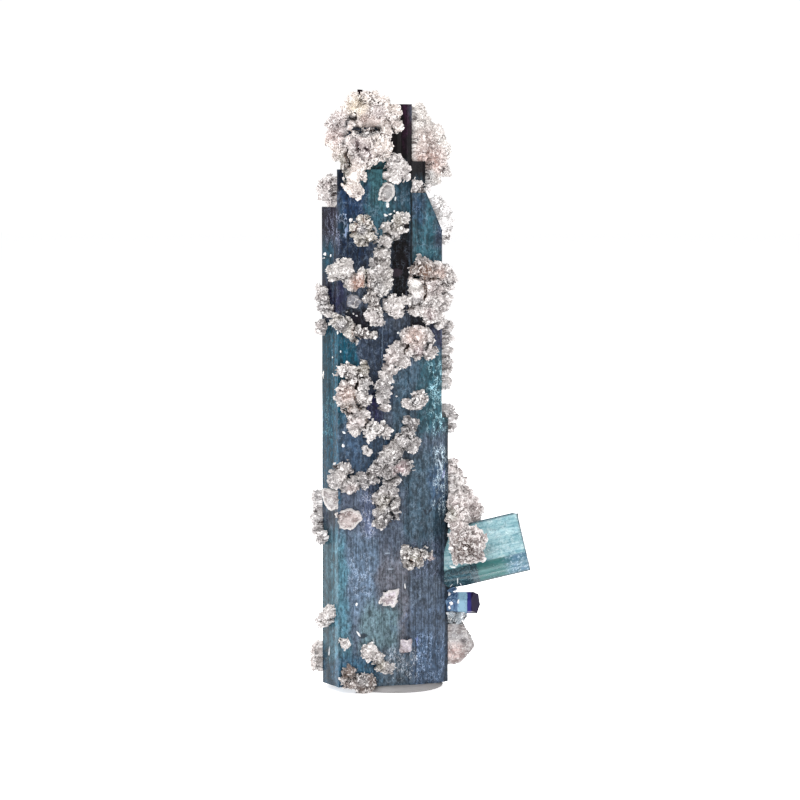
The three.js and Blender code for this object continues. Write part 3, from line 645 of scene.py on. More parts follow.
def makeSideCrystal():
    crystal = copyOf("tourmaline_side", "sideCrystal")
    lean, swing = math.radians(sideShape["lean"]), math.radians(sideShape["swing"])
    along = Vector((math.cos(lean) * math.cos(swing), -math.cos(lean) * math.sin(swing), math.sin(lean)))
    across = Vector((-math.sin(lean), 0, math.cos(lean))).normalized()
    cornerCut(crystal, along, across)
    striated(crystal, sideShape, across, along, seed=8)
    rootedDeeper(crystal)
    settle(crystal, "pale_tourmaline", sidePaint(), "tourmaline_side")


makeSideCrystal()
print("the side crystal is done")


# the small violet crystals

budShape = {
    "dark": 8.2, "tip": 57.5,  # mm, where the buds turn violet, and the height of the crown's tip
    "bevel": 0.03, "bevelAngle": 25,  # mm and degrees
    "root": (38, 58, 92), "rootPale": (110, 138, 166), "sparks": (150, 170, 190), "pale": (128, 162, 180),
    "veins": (60, 78, 104), "violet": (44, 44, 104), "end": (30, 22, 48), "shards": (20, 32, 66),
    "tipTone": (30, 20, 24),
    "index": 1.63, "absorbed": (0.3, 0.4, 0.85, 1.0), "density": 300.0, "clear": 0.06, "gloss": 0.003,
}


def budPaint():
    paint = Paint("violetTourmaline")
    hue = tonesOf(budShape)
    dark, tip = budShape["dark"], budShape["tip"]
    cloud = paint.noise(paint.place, 1.6, 3.0)
    broken = paint.cells(paint.drawn(0.35), 7.0, "F1", 1)
    chance = paint.node("ShaderNodeSeparateColor", None, {0: broken}, 0)
    side = paint.x + (cloud - 0.5) * 0.3
    root = paint.blend(chance, hue["root"], hue["rootPale"])
    root = paint.blend(paint.ease(chance, 0.9, 0.95), root, hue["sparks"])
    tone = paint.blend(paint.ease(side, 7.25, 7.5), root, hue["pale"])
    tone = paint.blend(paint.ease(abs(cloud - 0.5), 0.0, 0.03, 0.4, 0.0), tone, hue["veins"])
    tone = paint.blend(paint.ease(side, dark - 0.02, dark + 0.12), tone, hue["violet"])
    tone = paint.blend(paint.ease(side, dark + 0.35, dark + 0.55), tone, hue["end"])
    shards = paint.ease(paint.z, 10.0, 10.4)
    tone = paint.blend(shards * paint.ease(chance, 0.6, 0.7, 1.0, 0.2), tone, hue["shards"])
    tone = paint.blend(paint.ease(paint.z, tip - 1, tip), tone, hue["tipTone"])
    paint.absorb(budShape["absorbed"], budShape["density"])
    normal = paint.bump(cloud, 0.3, 0.05)
    return paint.finish(Base_Color=tone, Roughness=0.14 + cloud * 0.1, Normal=normal, IOR=budShape["index"],
                        Specular_IOR_Level=budShape["gloss"], Transmission_Weight=budShape["clear"])


def makeBuds():
    material = budPaint()
    for nodeName, name in (("tourmaline_buds", "buds"), ("tourmaline_tip", "crownTip")):
        piece = copyOf(nodeName, name)
        dissolved(piece)
        bpy.ops.object.mode_set(mode="OBJECT")
        if name == "buds":
            rootedDeeper(piece)
        withModifier(piece, "BEVEL", width=budShape["bevel"] * mm, segments=2, limit_method="ANGLE",
                     angle_limit=math.radians(budShape["bevelAngle"]))
        settle(piece, "violet_tourmaline", material, nodeName)


makeBuds()
print("the buds are done")


# the pad

padShape = {"bevel": 0.12, "bevelAngle": 18, "smooth": 35,  # mm and degrees
            "dark": (116, 114, 114), "light": (138, 136, 136), "grain": (128, 125, 124)}


def padPaint():
    paint = Paint("putty")
    hue = tonesOf(padShape)
    soft = paint.noise(paint.place, 0.8, 3.0)
    grain = paint.noise(paint.place, 6.0, 3.0)
    tone = paint.blend(soft, hue["dark"], hue["light"])
    tone = paint.blend(paint.ease(grain, 0.5, 0.75) * 0.3, tone, hue["grain"])
    normal = paint.bump(soft * 0.7 + grain * 0.3, 0.4, 0.1)
    return paint.finish(Base_Color=tone, Roughness=0.62 + grain * 0.2, Normal=normal)


def makePad():
    pad = copyOf("putty_pad", "pad")
    withModifier(pad, "BEVEL", width=padShape["bevel"] * mm, segments=2, limit_method="ANGLE",
                 angle_limit=math.radians(padShape["bevelAngle"]))
    settle(pad, "putty", padPaint(), "putty_pad")
    alone(pad)
    bpy.ops.object.shade_smooth_by_angle(angle=math.radians(padShape["smooth"]))


makePad()
print("the pad is done")


# cleavelandite

bladeShape = {
    "width": 0.3, "root": -0.18, "tip": 0.1, "thick": 0.05,  # mm
    "taper": (0.86, 0.35, 1),  # how the upper corners are drawn in
    "kinds": {"flatBlade": 4.0, "curvedBlade": 30.0, "hookedBlade": 60.0},  # degrees of bend
}


def makeBlade(name, bend):
    # a thin plate that stands on its root, with its upper corners cut off
    width, root, tip = (bladeShape[key] * mm for key in ("width", "root", "tip"))
    bpy.ops.object.select_all(action="DESELECT")
    bpy.ops.mesh.primitive_grid_add(x_subdivisions=3, y_subdivisions=2, size=1.0)
    blade = bpy.context.object
    blade.name = name
    blade.scale = (width, tip - root, 1)
    bpy.ops.object.transform_apply(location=False, rotation=False, scale=True)
    bpy.ops.object.mode_set(mode="EDIT")
    bpy.ops.mesh.select_all(action="DESELECT")
    bpy.ops.object.mode_set(mode="OBJECT")
    for vertex in blade.data.vertices:
        vertex.select = vertex.co.y > 0.4 * (tip - root) and abs(vertex.co.x) > 0.4 * width
    bpy.ops.object.mode_set(mode="EDIT")
    bpy.ops.transform.resize(value=bladeShape["taper"])
    bpy.ops.object.mode_set(mode="OBJECT")
    withModifier(blade, "SIMPLE_DEFORM", deform_method="BEND", deform_axis="Y", angle=math.radians(bend))
    withModifier(blade, "SOLIDIFY", thickness=bladeShape["thick"] * mm, offset=0.0)
    blade.rotation_euler = (math.pi / 2, 0, 0)
    blade.location = (0, 0, (tip + root) / 2)
    bpy.ops.object.transform_apply(location=True, rotation=True, scale=True)
    rim = blade.data.attributes.new("rim", "FLOAT", "POINT")
    for i, vertex in enumerate(blade.data.vertices):
        rim.data[i].value = min(1.0, max(0.0, (vertex.co.z - root) / (tip - root)))
    return blade


class Growth(Sheet):
    # a geometry sheet, with the steps that blades need
    def scaled(self, vector, factor):
        return self.node("ShaderNodeVectorMath", {"operation": "SCALE"}, {0: vector, "Scale": factor})

    def read(self, name):
        return self.node("GeometryNodeInputNamedAttribute", {"data_type": "FLOAT"}, {"Name": name})

    def store(self, geometry, name, value, domain="POINT"):
        return self.node("GeometryNodeStoreNamedAttribute", {"data_type": "FLOAT", "domain": domain},
                         {"Geometry": geometry, "Name": name, "Value": value})

    def moved(self, geometry, offset):
        return self.node("GeometryNodeSetPosition", None, {"Geometry": geometry, "Offset": offset})

    def where(self, value, operation, limit):
        return self.node("FunctionNodeCompare", {"operation": operation}, {0: value, 1: limit})

    def both(self, first, second):
        return self.node("FunctionNodeBooleanMath", {"operation": "AND"}, {0: first, 1: second})

    def joined(self, *geometries):
        made = self.tree.nodes.new("GeometryNodeJoinGeometry")
        for geometry in geometries:
            self.tree.links.new(geometry.socket, made.inputs[0])
        return Wire(self, made.outputs[0])

    def chance(self, kind, low, high, seed):
        # a random value for each point, of the node's three kinds of value
        slot = ("FLOAT_VECTOR", "FLOAT", "INT").index(kind)
        return self.node("FunctionNodeRandomValue", {"data_type": kind},
                         {2 * slot: low, 2 * slot + 1: high, "Seed": seed}, slot)

    def shape(self, thing, asInstance=False):
        inputs = {"Object": thing, "As Instance": asInstance}
        return self.node("GeometryNodeObjectInfo", None, inputs, "Geometry")


scatterInputs = {"Spacing": "Float", "Size": "Float", "Lean From": "Float", "Lean To": "Float",
                 "Swell": "Float", "Reach": "Float", "Curls": "Float", "Seed": "Int"}
growthShape = {
    "knobs": 0.9, "wobble": 1.7, "push": 0.7,  # knobs a mm, and how the pattern is bent
    "rimLift": 0.09,  # mm, the height of a flake's rim
    "keptOff": 0.24,  # mm, the least distance between blades and the crystal
    "pressed": 0.3,  # mm, what lies nearer to the crystal sinks into it
    "ground": 0.03,  # mm, the lowest height
    "crest": 0.6,  # blades stand where the ridges are higher than this
}


def lumpiness(sheet, here, curl):
    # rounded knobs, and on them winding ridges, both 0 to 1
    place = sheet.scaled(here, 1 / mm)
    wobble = sheet.node("ShaderNodeTexNoise", None,
                        {"Vector": place, "Scale": growthShape["wobble"], "Detail": 2.0}, 1)
    bent = sheet.vector("ADD", place, sheet.vector("MULTIPLY", wobble, (growthShape["push"],) * 3))
    cell = sheet.cells(bent, growthShape["knobs"])
    knob = (1 - cell * cell * 1.6).atLeast(0)
    broad, fine = (1 - sheet.ease(abs(sheet.noise(bent, scale, 1.0, 0.5) - 0.5), 0.0, width)
                   for scale, width in ((curl, 0.07), (curl * 2.1, 0.05)))
    return knob, broad.atLeast(fine * 0.75)


def standingPlates(sheet, blades, points, size, lean, seed):
    # stands a blade on each point, leaning and turned by chance
    normal = Wire(sheet, points.socket.node.outputs["Normal"])
    upright = sheet.node("FunctionNodeAlignRotationToVector", {"axis": "Z"}, {"Vector": normal})
    least = sheet.node("ShaderNodeCombineXYZ", None, {0: lean[0], 1: -0.5, 2: 0.0})
    most = sheet.node("ShaderNodeCombineXYZ", None, {0: lean[1], 1: 0.5, 2: 2 * math.pi})
    turn = sheet.chance("FLOAT_VECTOR", least, most, seed + 1)
    spin = sheet.node("FunctionNodeEulerToRotation", None, {0: turn})
    stance = sheet.node("FunctionNodeRotateRotation", {"rotation_space": "LOCAL"},
                        {"Rotation": upright, "Rotate By": spin})
    kinds = sheet.joined(*(sheet.shape(blade, True) for blade in blades))
    kind = sheet.chance("INT", 0, len(blades) - 1, seed + 2)
    spread = sheet.chance("FLOAT_VECTOR", (0.7, 0.8, 0.78), (1.35, 1.25, 1.12), seed + 3)
    standing = sheet.node("GeometryNodeInstanceOnPoints", None, {
        "Points": points, "Instance": kinds, "Pick Instance": True,
        "Instance Index": kind, "Rotation": stance, "Scale": sheet.scaled(spread, size)})
    shaded = sheet.store(standing, "shade", sheet.chance("FLOAT", 0.0, 1.0, seed + 4), "INSTANCE")
    return sheet.node("GeometryNodeRealizeInstances", None, {"Geometry": shaded})


def bladeScatter(blades, host):
    # stands blades on a crust and presses the crust's underside against the crystal that carries it
    tree = bpy.data.node_groups.new("bladeScatter", "GeometryNodeTree")
    tree.interface.new_socket("Geometry", in_out="INPUT", socket_type="NodeSocketGeometry")
    for name, kind in scatterInputs.items():
        tree.interface.new_socket(name, in_out="INPUT", socket_type="NodeSocket" + kind)
    tree.interface.new_socket("Geometry", in_out="OUTPUT", socket_type="NodeSocketGeometry")
    sheet = Growth(tree)
    source = tree.nodes.new("NodeGroupInput")
    bare, spacing, size, leanFrom, leanTo, swell, reach, curl, seed = (
        Wire(sheet, source.outputs[i]) for i in range(len(scatterInputs) + 1))
    here = sheet.node("GeometryNodeInputPosition")
    knob, ridge = lumpiness(sheet, here, curl)
    bald, cleft, rim = (sheet.read(name) for name in ("bald", "cleft", "rim"))
    lift = (knob * 0.5 + ridge * 0.5 - 0.33) * swell * (1 - bald * 0.75) + rim * (growthShape["rimLift"] * mm)
    outward = sheet.scaled(sheet.node("GeometryNodeInputNormal"), lift)
    inward = sheet.node("ShaderNodeCombineXYZ", None, {1: cleft * mm})
    crust = sheet.moved(bare, sheet.vector("ADD", outward, inward))
    crust = sheet.store(crust, "lift", ridge.atLeast(bald * 0.6))
    crust = sheet.store(crust, "hollow", 1 - knob.atLeast(bald))
    # blades stand on the crests, away from the crystal, and not on smooth lumps or in clefts
    near = sheet.node("GeometryNodeProximity", {"target_element": "FACES"},
                      {0: sheet.shape(host)}, "Distance")
    free = sheet.both(sheet.where(near, "GREATER_THAN", growthShape["keptOff"] * mm),
                      sheet.where(ridge, "GREATER_THAN", growthShape["crest"]))
    free = sheet.both(free, sheet.where(bald + cleft, "LESS_THAN", 0.5))
    points = sheet.node("GeometryNodeDistributePointsOnFaces", {"distribute_method": "POISSON"}, {
        "Mesh": crust, "Selection": free, "Distance Min": spacing,
        "Density Max": 5.0 / (spacing * spacing), "Seed": seed})
    plates = standingPlates(sheet, blades, points, size, (leanFrom, leanTo), seed)
    # the body under the blades sinks into the crystal, and nothing reaches below the ground
    press = sheet.ease(near, growthShape["pressed"] * mm, reach, 1.6, 0.0)
    nearest = Wire(sheet, near.socket.node.outputs["Position"])
    pressed = sheet.moved(crust, sheet.scaled(sheet.vector("SUBTRACT", nearest, here), press))
    parts = sheet.node("ShaderNodeSeparateXYZ", None, {0: here}).socket.node
    x, y, z = (Wire(sheet, socket) for socket in parts.outputs)
    kept = sheet.node("ShaderNodeCombineXYZ", None, {0: x, 1: y, 2: z.atLeast(growthShape["ground"] * mm)})
    grounded = sheet.node("GeometryNodeSetPosition", None,
                          {"Geometry": sheet.joined(plates, pressed), "Position": kept})
    result = tree.nodes.new("NodeGroupOutput")
    tree.links.new(grounded.socket, result.inputs[0])
    return tree


# The darkest tone here is painted shade for the hollows, and lit is a painted highlight for ridges and blade
# tips.
crustTones = {"patch": (190, 184, 186), "deep": (88, 76, 74), "lit": (252, 250, 249), "milk": (236, 232, 230),
              "curl": (246, 243, 242), "besideCurl": (150, 140, 136), "grain": (160, 150, 146)}
flakeTones = {"dull": (168, 158, 156), "fold": (206, 202, 200), "besideFold": (120, 112, 112),
              "rim": (196, 192, 190), "grain": (150, 142, 142)}


def crustPaint():
    # painted light: ridges and the plates' rims get a painted highlight towards white, hollows keep the tone
    # and get painted shade
    paint = Paint("cleavelanditeBlades")
    hue = tonesOf(crustTones)
    plate = paint.ease(paint.attribute("rim"), 0.5, 0.95)
    shade = paint.attribute("shade")
    high = paint.ease(paint.attribute("lift"), 0.2, 0.75)
    hollow = paint.ease(paint.attribute("hollow"), 0.45, 0.95)
    cloud = paint.noise(paint.place, 1.1, 3.0)
    patch = paint.noise(paint.place, 0.75, 2.0)
    grain = paint.noise(paint.place, 7.0, 2.0)
    curl = abs(paint.noise(paint.place, 2.5, 1.0, 0.5) - 0.5)
    own = paint.attribute("tone", 0)
    base = paint.blend(paint.ease(patch, 0.36, 0.5, 0.45, 0.0), own, hue["patch"], "MULTIPLY")
    # painted shade, darkest in the hollows and at the blades' roots
    deep = paint.blend(0.35 + hollow * 0.6, base, hue["deep"], "MULTIPLY")
    lit = paint.blend(0.28 + shade * 0.4, base, hue["lit"])
    lit = paint.blend(paint.ease(cloud, 0.4, 0.65) * 0.3, lit, hue["milk"])
    # painted highlight on the ridges, smooth lumps and the blades' tips
    tone = paint.blend((high * 0.95).atLeast(plate), deep, lit)
    tone = paint.blend((1 - paint.ease(curl, 0.0, 0.035)) * 0.5, tone, hue["curl"])
    tone = paint.blend(paint.between(curl, 0.05, 0.1, 0.02) * 0.5, tone, hue["besideCurl"], "MULTIPLY")
    tone = paint.blend(paint.ease(grain, 0.55, 0.75) * 0.25, tone, hue["grain"], "MULTIPLY")
    normal = paint.bump(grain * 0.5 + paint.ease(curl, 0.0, 0.08) * -0.5, 0.4, 0.06)
    return paint.finish(Base_Color=tone, Roughness=0.42 + grain * 0.2, Normal=normal)


def flakePaint():
    # a smooth flake with a white rim, folds and a duller middle
    paint = Paint("cleavelanditeFlake")
    hue = tonesOf(flakeTones)
    rim = paint.ease(paint.attribute("rim"), 0.3, 0.8)
    base = paint.attribute("tone", 0)
    cloud = paint.noise(paint.place, 1.4, 3.0)
    curl = abs(paint.noise(paint.drawn(1.8), 1.5, 1.0, 0.5) - 0.5)
    grain = paint.noise(paint.place, 8.0, 2.0)
    dull = paint.blend(1.0, base, hue["dull"], "MULTIPLY")
    tone = paint.blend(paint.ease(cloud, 0.36, 0.62), dull, base)
    tone = paint.blend((1 - paint.ease(curl, 0.0, 0.04)) * 0.7, tone, hue["fold"])
    tone = paint.blend(paint.between(curl, 0.05, 0.08, 0.02) * 0.5, tone, hue["besideFold"])
    tone = paint.blend(rim * 0.8, tone, hue["rim"])
    tone = paint.blend(paint.ease(grain, 0.56, 0.7) * 0.25, tone, hue["grain"])
    bumps = paint.bump(paint.ease(curl, 0.0, 0.1) * -0.7 + grain * 0.3, 0.6, 0.12)
    return paint.finish(Base_Color=tone, Roughness=0.3 + grain * 0.2, Normal=bumps)


# Tones of single crusts.
chalk = (232, 230, 228)
white = (218, 213, 211)
pinkish = (206, 195, 193)
peachy = (204, 182, 173)
olive = (150, 144, 132)
brownish = (138, 120, 108)
greyish = (176, 173, 173)
ashen = (150, 148, 150)
# The next two tones darken clefts only: painted shade in the crevices, with the stone's brown.
burntCreviceShade = (84, 52, 40)
umberCreviceShade = (120, 92, 74)
mauve = (172, 150, 152)

# What differs from crustShape in each crust: its main tone and how its blades grow, and, as seen from the
# front, spots of another tone (x, z, reach in mm, tone), smooth places in bald (x, z, reach), clefts (points,
# width, depth, tone, which is painted shade in the crevice, partly the stone's colour), lumps (x, y, z,
# radius) and tucks, which push a part sideways (x, z, reach, shift).
crusts = {
    "crown": {
        "tone": (240, 230, 223), "rounding": 6, "swell": 0.4,
        "tucks": [(2.4, 56.8, 2.2, -0.27)],
        "spots": [
            (-2.6, 58.0, 1.0, (238, 226, 206)), (-4.6, 55.4, 1.2, (224, 204, 200)),
            (-4.8, 56.6, 1.3, pinkish), (-1.0, 56.5, 1.0, peachy), (-2.4, 53.8, 1.4, pinkish),
            (-3.9, 52.8, 0.7, olive), (-0.6, 57.6, 0.9, pinkish), (-3.8, 51.6, 0.5, olive),
            (-0.3, 56.2, 0.4, brownish), (-1.9, 56.8, 0.45, peachy),
        ],
        "bald": [(-1.3, 56.4, 0.5), (-0.5, 56.3, 0.5), (-3.0, 51.2, 0.4)],
        "clefts": [
            ([(-2.75, 55.8), (-1.95, 55.3), (-1.2, 55.5), (-0.6, 55.8)], 0.34, 0.5, (56, 36, 28)),
            ([(-3.4, 57.0), (-2.9, 56.9)], 0.22, 0.9, burntCreviceShade),
            ([(-3.4, 57.0), (-3.75, 56.3), (-3.75, 55.5), (-4.0, 54.4)], 0.18, 0.7, greyish),
            ([(-2.65, 54.6), (-2.45, 53.8)], 0.2, 0.6, mauve),
            ([(-1.8, 54.0), (-1.4, 53.3)], 0.2, 0.6, mauve),
            ([(-3.7, 53.3), (-3.4, 52.4)], 0.24, 0.8, umberCreviceShade),
            ([(-4.2, 51.9), (-3.8, 50.6)], 0.22, 0.9, olive),
        ],
    },
    "crown_behind": {
        "tone": (238, 233, 228), "size": 0.8, "rounding": 9, "swell": 0.34, "reach": 0.4, "curls": 1.9,
        "spots": [
            (4.4, 52.8, 1.6, (226, 196, 186)), (4.0, 54.8, 1.2, (230, 216, 210)), (4.4, 51.2, 0.8, chalk),
        ],
        "lumps": [
            (3.3, -0.9, 54.1, 0.85), (3.35, -0.8, 53.3, 0.85), (3.25, -0.9, 55.1, 0.8),
            (3.15, -0.8, 56.1, 0.75), (3.05, -0.5, 57.1, 0.7), (3.0, 0.8, 53.4, 0.9),
        ],
    },
    "rosette_brow": {"tone": white},
    "knob_left": {
        "tone": (238, 232, 230), "rounding": 8, "reach": 0.4,
        "spots": [(-5.4, 50.4, 0.5, pinkish)],
    },
    "chips_right": {"tone": white},
    "shoulder": {"tone": (254, 254, 254), "swell": 0.4, "spots": [(5.8, 45.0, 0.4, greyish)]},
    "knot_upper": {
        "tone": (168, 162, 150),
        "spots": [(-2.2, 46.0, 0.6, ashen), (-3.4, 47.4, 0.5, white)],
        "clefts": [
            ([(-3.0, 47.2), (-2.6, 46.4), (-3.0, 45.8)], 0.14, 0.5, umberCreviceShade),
            ([(-2.0, 47.2), (-1.8, 46.6)], 0.12, 0.5, umberCreviceShade),
        ],
    },
    "spine": {
        "tone": (206, 202, 199),
        "spots": [
            (-2.4, 40.8, 0.9, (188, 146, 128)), (1.4, 46.6, 0.7, olive), (-0.9, 37.4, 0.8, white),
            (-1.2, 42.6, 0.8, greyish), (-0.6, 40.4, 0.7, greyish),
        ],
        "clefts": [
            ([(-1.75, 42.6), (-1.85, 40.2)], 0.12, 0.4, olive),
            ([(0.2, 45.6), (1.5, 44.9)], 0.14, 0.5, (60, 54, 56)),
            ([(-0.6, 44.6), (0.5, 44.0)], 0.12, 0.5, (70, 62, 62)),
            ([(-1.15, 39.5), (-1.1, 39.5)], 0.14, 0.5, burntCreviceShade),
            ([(-0.72, 39.5), (-0.68, 39.5)], 0.12, 0.5, burntCreviceShade),
        ],
    },
    "rim_left": {"tone": white, "spots": [(-6.0, 38.4, 0.7, ashen)]},
    "bead_left": {"tone": white},
    "band": {
        "tone": (176, 172, 166),
        "spots": [(-2.0, 35.7, 0.9, white), (-4.2, 36.6, 0.6, ashen)],
        "clefts": [([(-3.0, 36.6), (-3.1, 35.6)], 0.12, 0.5, umberCreviceShade)],
    },
    "rosette_mid": {"tone": white, "spots": [(1.6, 37.0, 0.4, ashen)]},
    "cascade": {
        "tone": white,
        "spots": [
            (3.2, 41.8, 1.1, (96, 64, 42)), (4.3, 41.9, 0.9, (122, 92, 74)), (5.4, 41.6, 0.8, peachy),
            (5.0, 40.4, 0.9, pinkish), (3.1, 40.6, 0.7, (196, 193, 188)), (3.2, 39.0, 0.6, greyish),
            (4.5, 37.7, 0.7, pinkish),
        ],
        "bald": [(3.1, 40.7, 0.5), (3.2, 39.6, 0.4)],
        "clefts": [
            ([(2.7, 41.5), (3.4, 41.3), (4.0, 40.9)], 0.2, 0.6, burntCreviceShade),
            ([(3.9, 41.0), (4.1, 40.0), (4.0, 39.2)], 0.16, 0.5, umberCreviceShade),
            ([(4.4, 41.1), (5.4, 41.2)], 0.14, 0.4, umberCreviceShade),
            ([(4.35, 38.1), (4.5, 37.2)], 0.14, 0.4, mauve),
        ],
    },
    "selvage": {"tone": white},
    "chips_rim": {"tone": (206, 203, 203)},
    "peach": {
        "tone": (206, 200, 198),
        "spots": [
            (3.0, 35.4, 1.1, (206, 184, 176)), (3.4, 34.0, 0.5, mauve), (0.4, 33.4, 0.8, pinkish),
            (0.0, 30.2, 1.4, greyish),
        ],
        "clefts": [
            ([(2.0, 33.9), (2.4, 34.6)], 0.16, 0.5, umberCreviceShade),
            ([(4.0, 34.2), (4.4, 34.9)], 0.16, 0.5, ashen),
        ],
    },
    "drift": {
        "tone": white,
        "spots": [
            (-2.0, 32.4, 1.0, olive), (-1.6, 30.6, 0.9, greyish), (-3.8, 30.0, 0.9, peachy),
            (-3.6, 28.4, 0.7, brownish), (-2.9, 27.2, 0.8, pinkish), (-1.0, 26.3, 1.2, chalk),
        ],
        "clefts": [
            ([(-2.7, 31.0), (-2.9, 29.6), (-2.4, 28.4)], 0.18, 0.6, umberCreviceShade),
            ([(-3.9, 28.4), (-3.2, 27.9)], 0.16, 0.5, burntCreviceShade),
            ([(-1.6, 27.5), (-1.9, 26.6)], 0.14, 0.5, umberCreviceShade),
        ],
    },
    "rosette_right": {"tone": white, "spots": [(3.0, 29.0, 0.5, ashen)]},
    "garland": {
        "tone": (164, 160, 160),
        "spots": [
            (2.0, 27.0, 0.9, ashen), (0.6, 24.6, 1.2, (196, 192, 190)), (1.6, 22.4, 0.8, mauve),
            (-3.9, 21.8, 0.9, white), (-3.2, 20.4, 0.6, pinkish), (-1.6, 20.8, 0.8, ashen),
            (0.1, 19.0, 0.9, (146, 140, 130)), (0.6, 17.4, 1.0, (122, 120, 122)),
        ],
        "clefts": [
            ([(0.9, 22.8), (1.7, 23.4)], 0.16, 0.5, ashen),
            ([(-0.6, 21.6), (0.4, 21.2), (1.6, 21.8)], 0.16, 0.6, ashen),
            ([(0.9, 19.4), (0.3, 18.4), (1.0, 17.6), (0.2, 16.8)], 0.16, 0.6, (70, 66, 72)),
            ([(-2.6, 21.2), (-2.2, 20.4)], 0.14, 0.5, ashen),
        ],
    },
    "fringe_left": {"tone": (216, 213, 213)},
    "starfish": {
        "tone": (166, 162, 158),
        "spots": [(3.0, 13.3, 0.6, olive), (4.8, 13.0, 0.6, mauve)],
        "clefts": [
            ([(2.2, 13.6), (3.0, 12.9)], 0.12, 0.5, umberCreviceShade),
            ([(3.6, 14.0), (3.9, 13.0)], 0.12, 0.5, umberCreviceShade),
        ],
    },
    "tuft_left": {"tone": white},
    "knob_foot_left": {"tone": (220, 213, 210)},
    "speck_low": {"tone": white},
    "hook": {"tone": white, "spots": [(-0.4, 2.8, 0.6, olive), (0.6, 2.2, 0.5, ashen)]},
    "toe": {"tone": (124, 108, 100), "spots": [(-2.2, 1.5, 0.7, greyish)]},
    "spur": {
        "tone": pinkish, "rounding": 36, "size": 1.35, "spacing": 0.18, "swell": 0.5,
        "lumps": [(8.75, 0.5, 16.9, 0.6)],
        "spots": [(8.2, 14.3, 1.5, (92, 72, 64)), (6.9, 20.6, 1.4, white), (6.6, 17.6, 0.7, olive)],
    },
    "chips_bud": {"tone": (170, 182, 190), "reach": 0.4, "lumps": [(6.7, 0.2, 6.9, 0.62)]},
    "back_crest": {"tone": white},
    "back_chain": {"tone": greyish},
    "back_rosette": {"tone": pinkish},
    "back_drift": {"tone": greyish},
    "back_knot": {"tone": white},
    "back_fan": {"tone": pinkish},
    "back_chip": {"tone": greyish},
    "back_toe": {"tone": brownish},
}

# Flakes lie flat: their plates lean all the way over.
flakeLook = {"slot": "cleavelandite_flake", "lean": (1.3, 1.6), "size": 1.3, "spacing": 1.44, "swell": 0.16,
             "rounding": 4, "reach": 0.34, "rim": 1.0}
# shrink draws a flake in, ragged is how far its outline wanders in mm, and rim is how strong its rim is
flakes = {
    "brow": {"tone": (140, 138, 138), "shrink": 0.86, "ragged": 0.3},
    "spine": {"tone": (112, 114, 122), "rim": 0.35, "ragged": 0.3},
    "crumb": {"tone": (176, 172, 172), "ragged": 0.4},
    "shell": {"tone": greyish, "rounding": 10, "ragged": 0.25},
    "low": {"tone": (172, 160, 158), "ragged": 0.3},
    "waist": {
        "tone": (204, 196, 204), "rim": 0.8, "shrink": 0.86, "ragged": 0.7,
        "lumps": [(-0.3, -3.45, 9.35, 0.3), (-0.62, -3.42, 9.1, 0.16)],
    },
    "square": {"tone": (178, 170, 178), "rim": 0.3, "shrink": 0.92, "ragged": 0.3},
    "wedge": {
        "tone": greyish, "reach": 0.62, "rim": 0.0, "ragged": 0.25,
        "lumps": [(7.3, 0.4, 5.2, 0.95), (7.9, 0.35, 4.2, 0.95), (7.0, 0.5, 3.5, 0.95)],
        "spots": [
            (7.95, 4.7, 0.36, (72, 66, 68)), (7.0, 3.5, 1.0, (200, 180, 176)), (7.2, 5.6, 0.8, ashen),
        ],
    },
}
crustShape = {
    "voxel": 0.1, "swell": 0.56, "reach": 0.62, "spacing": 0.24,  # mm
    "size": 1.0, "curls": 1.5, "rounding": 5,  # of the blades, curls a mm, and smoothing passes
    "lean": (-0.7, 0.7),  # radians
    "raggedGrain": 0.5,  # mm
}


def tinted(piece, tone, spots=(), clefts=()):
    # brushes a crust's tones onto its points
    layer = piece.data.color_attributes.new("tone", "FLOAT_COLOR", "POINT")
    base = toned(*tone)
    brushes = [(x, z, reach, toned(*spot)) for x, z, reach, spot in spots]
    lines = [(line, width, toned(*spot)) for line, width, depth, spot in clefts]
    for i, vertex in enumerate(piece.data.vertices):
        color, place = base, vertex.co / mm
        for x, z, reach, spot in brushes:
            part = 1.6 - 1.2 * math.hypot(place.x - x, place.z - z) / reach
            color = between(color, spot, max(0.0, min(1.0, part)))
        # clefts get their tone along their lines: painted shade in the crevices, partly the stone's own
        # colour
        for line, width, spot in lines:
            part = softStep(fromLine(line, place.x, place.z) / width, 1.5, 0.7)
            color = between(color, spot, part)
        layer.data[i].color = color


def fromLine(line, x, z):
    # how far a point lies from a line of points, mm
    away = math.inf
    for (x0, z0), (x1, z1) in zip(line, line[1:]):
        run, rise = x1 - x0, z1 - z0
        part = max(0.0, min(1.0, ((x - x0) * run + (z - z0) * rise) / (run * run + rise * rise)))
        away = min(away, math.hypot(x - x0 - run * part, z - z0 - rise * part))
    return away


def marked(piece, look):
    # marks smooth lumps, clefts in the front and a flake's rim on a crust's points
    for name in ("bald", "cleft", "rim"):
        piece.data.attributes.new(name, "FLOAT", "POINT")
    bald, cleft, rim = (piece.data.attributes[name].data for name in ("bald", "cleft", "rim"))
    side = kdtree.KDTree(len(piece.data.vertices))
    for i, vertex in enumerate(piece.data.vertices):
        if abs(vertex.normal.y) < 0.6:
            side.insert(vertex.co, i)
    side.balance()
    for i, vertex in enumerate(piece.data.vertices):
        place = vertex.co / mm
        bald[i].value = max([softStep(math.hypot(place.x - x, place.z - z) / reach, 1.15, 0.8)
                             for x, z, reach in look.get("bald", [])], default=0)
        deepest = max([softStep(fromLine(line, place.x, place.z) / width, 1.3, 0.2) * depth
                       for line, width, depth, tone in look.get("clefts", [])], default=0)
        cleft[i].value = deepest * softStep(-vertex.normal.y, -0.2, 0.2)
        if "rim" in look:
            rim[i].value = softStep(side.find(vertex.co)[2] / mm, 0.18, 0.04) * look["rim"]


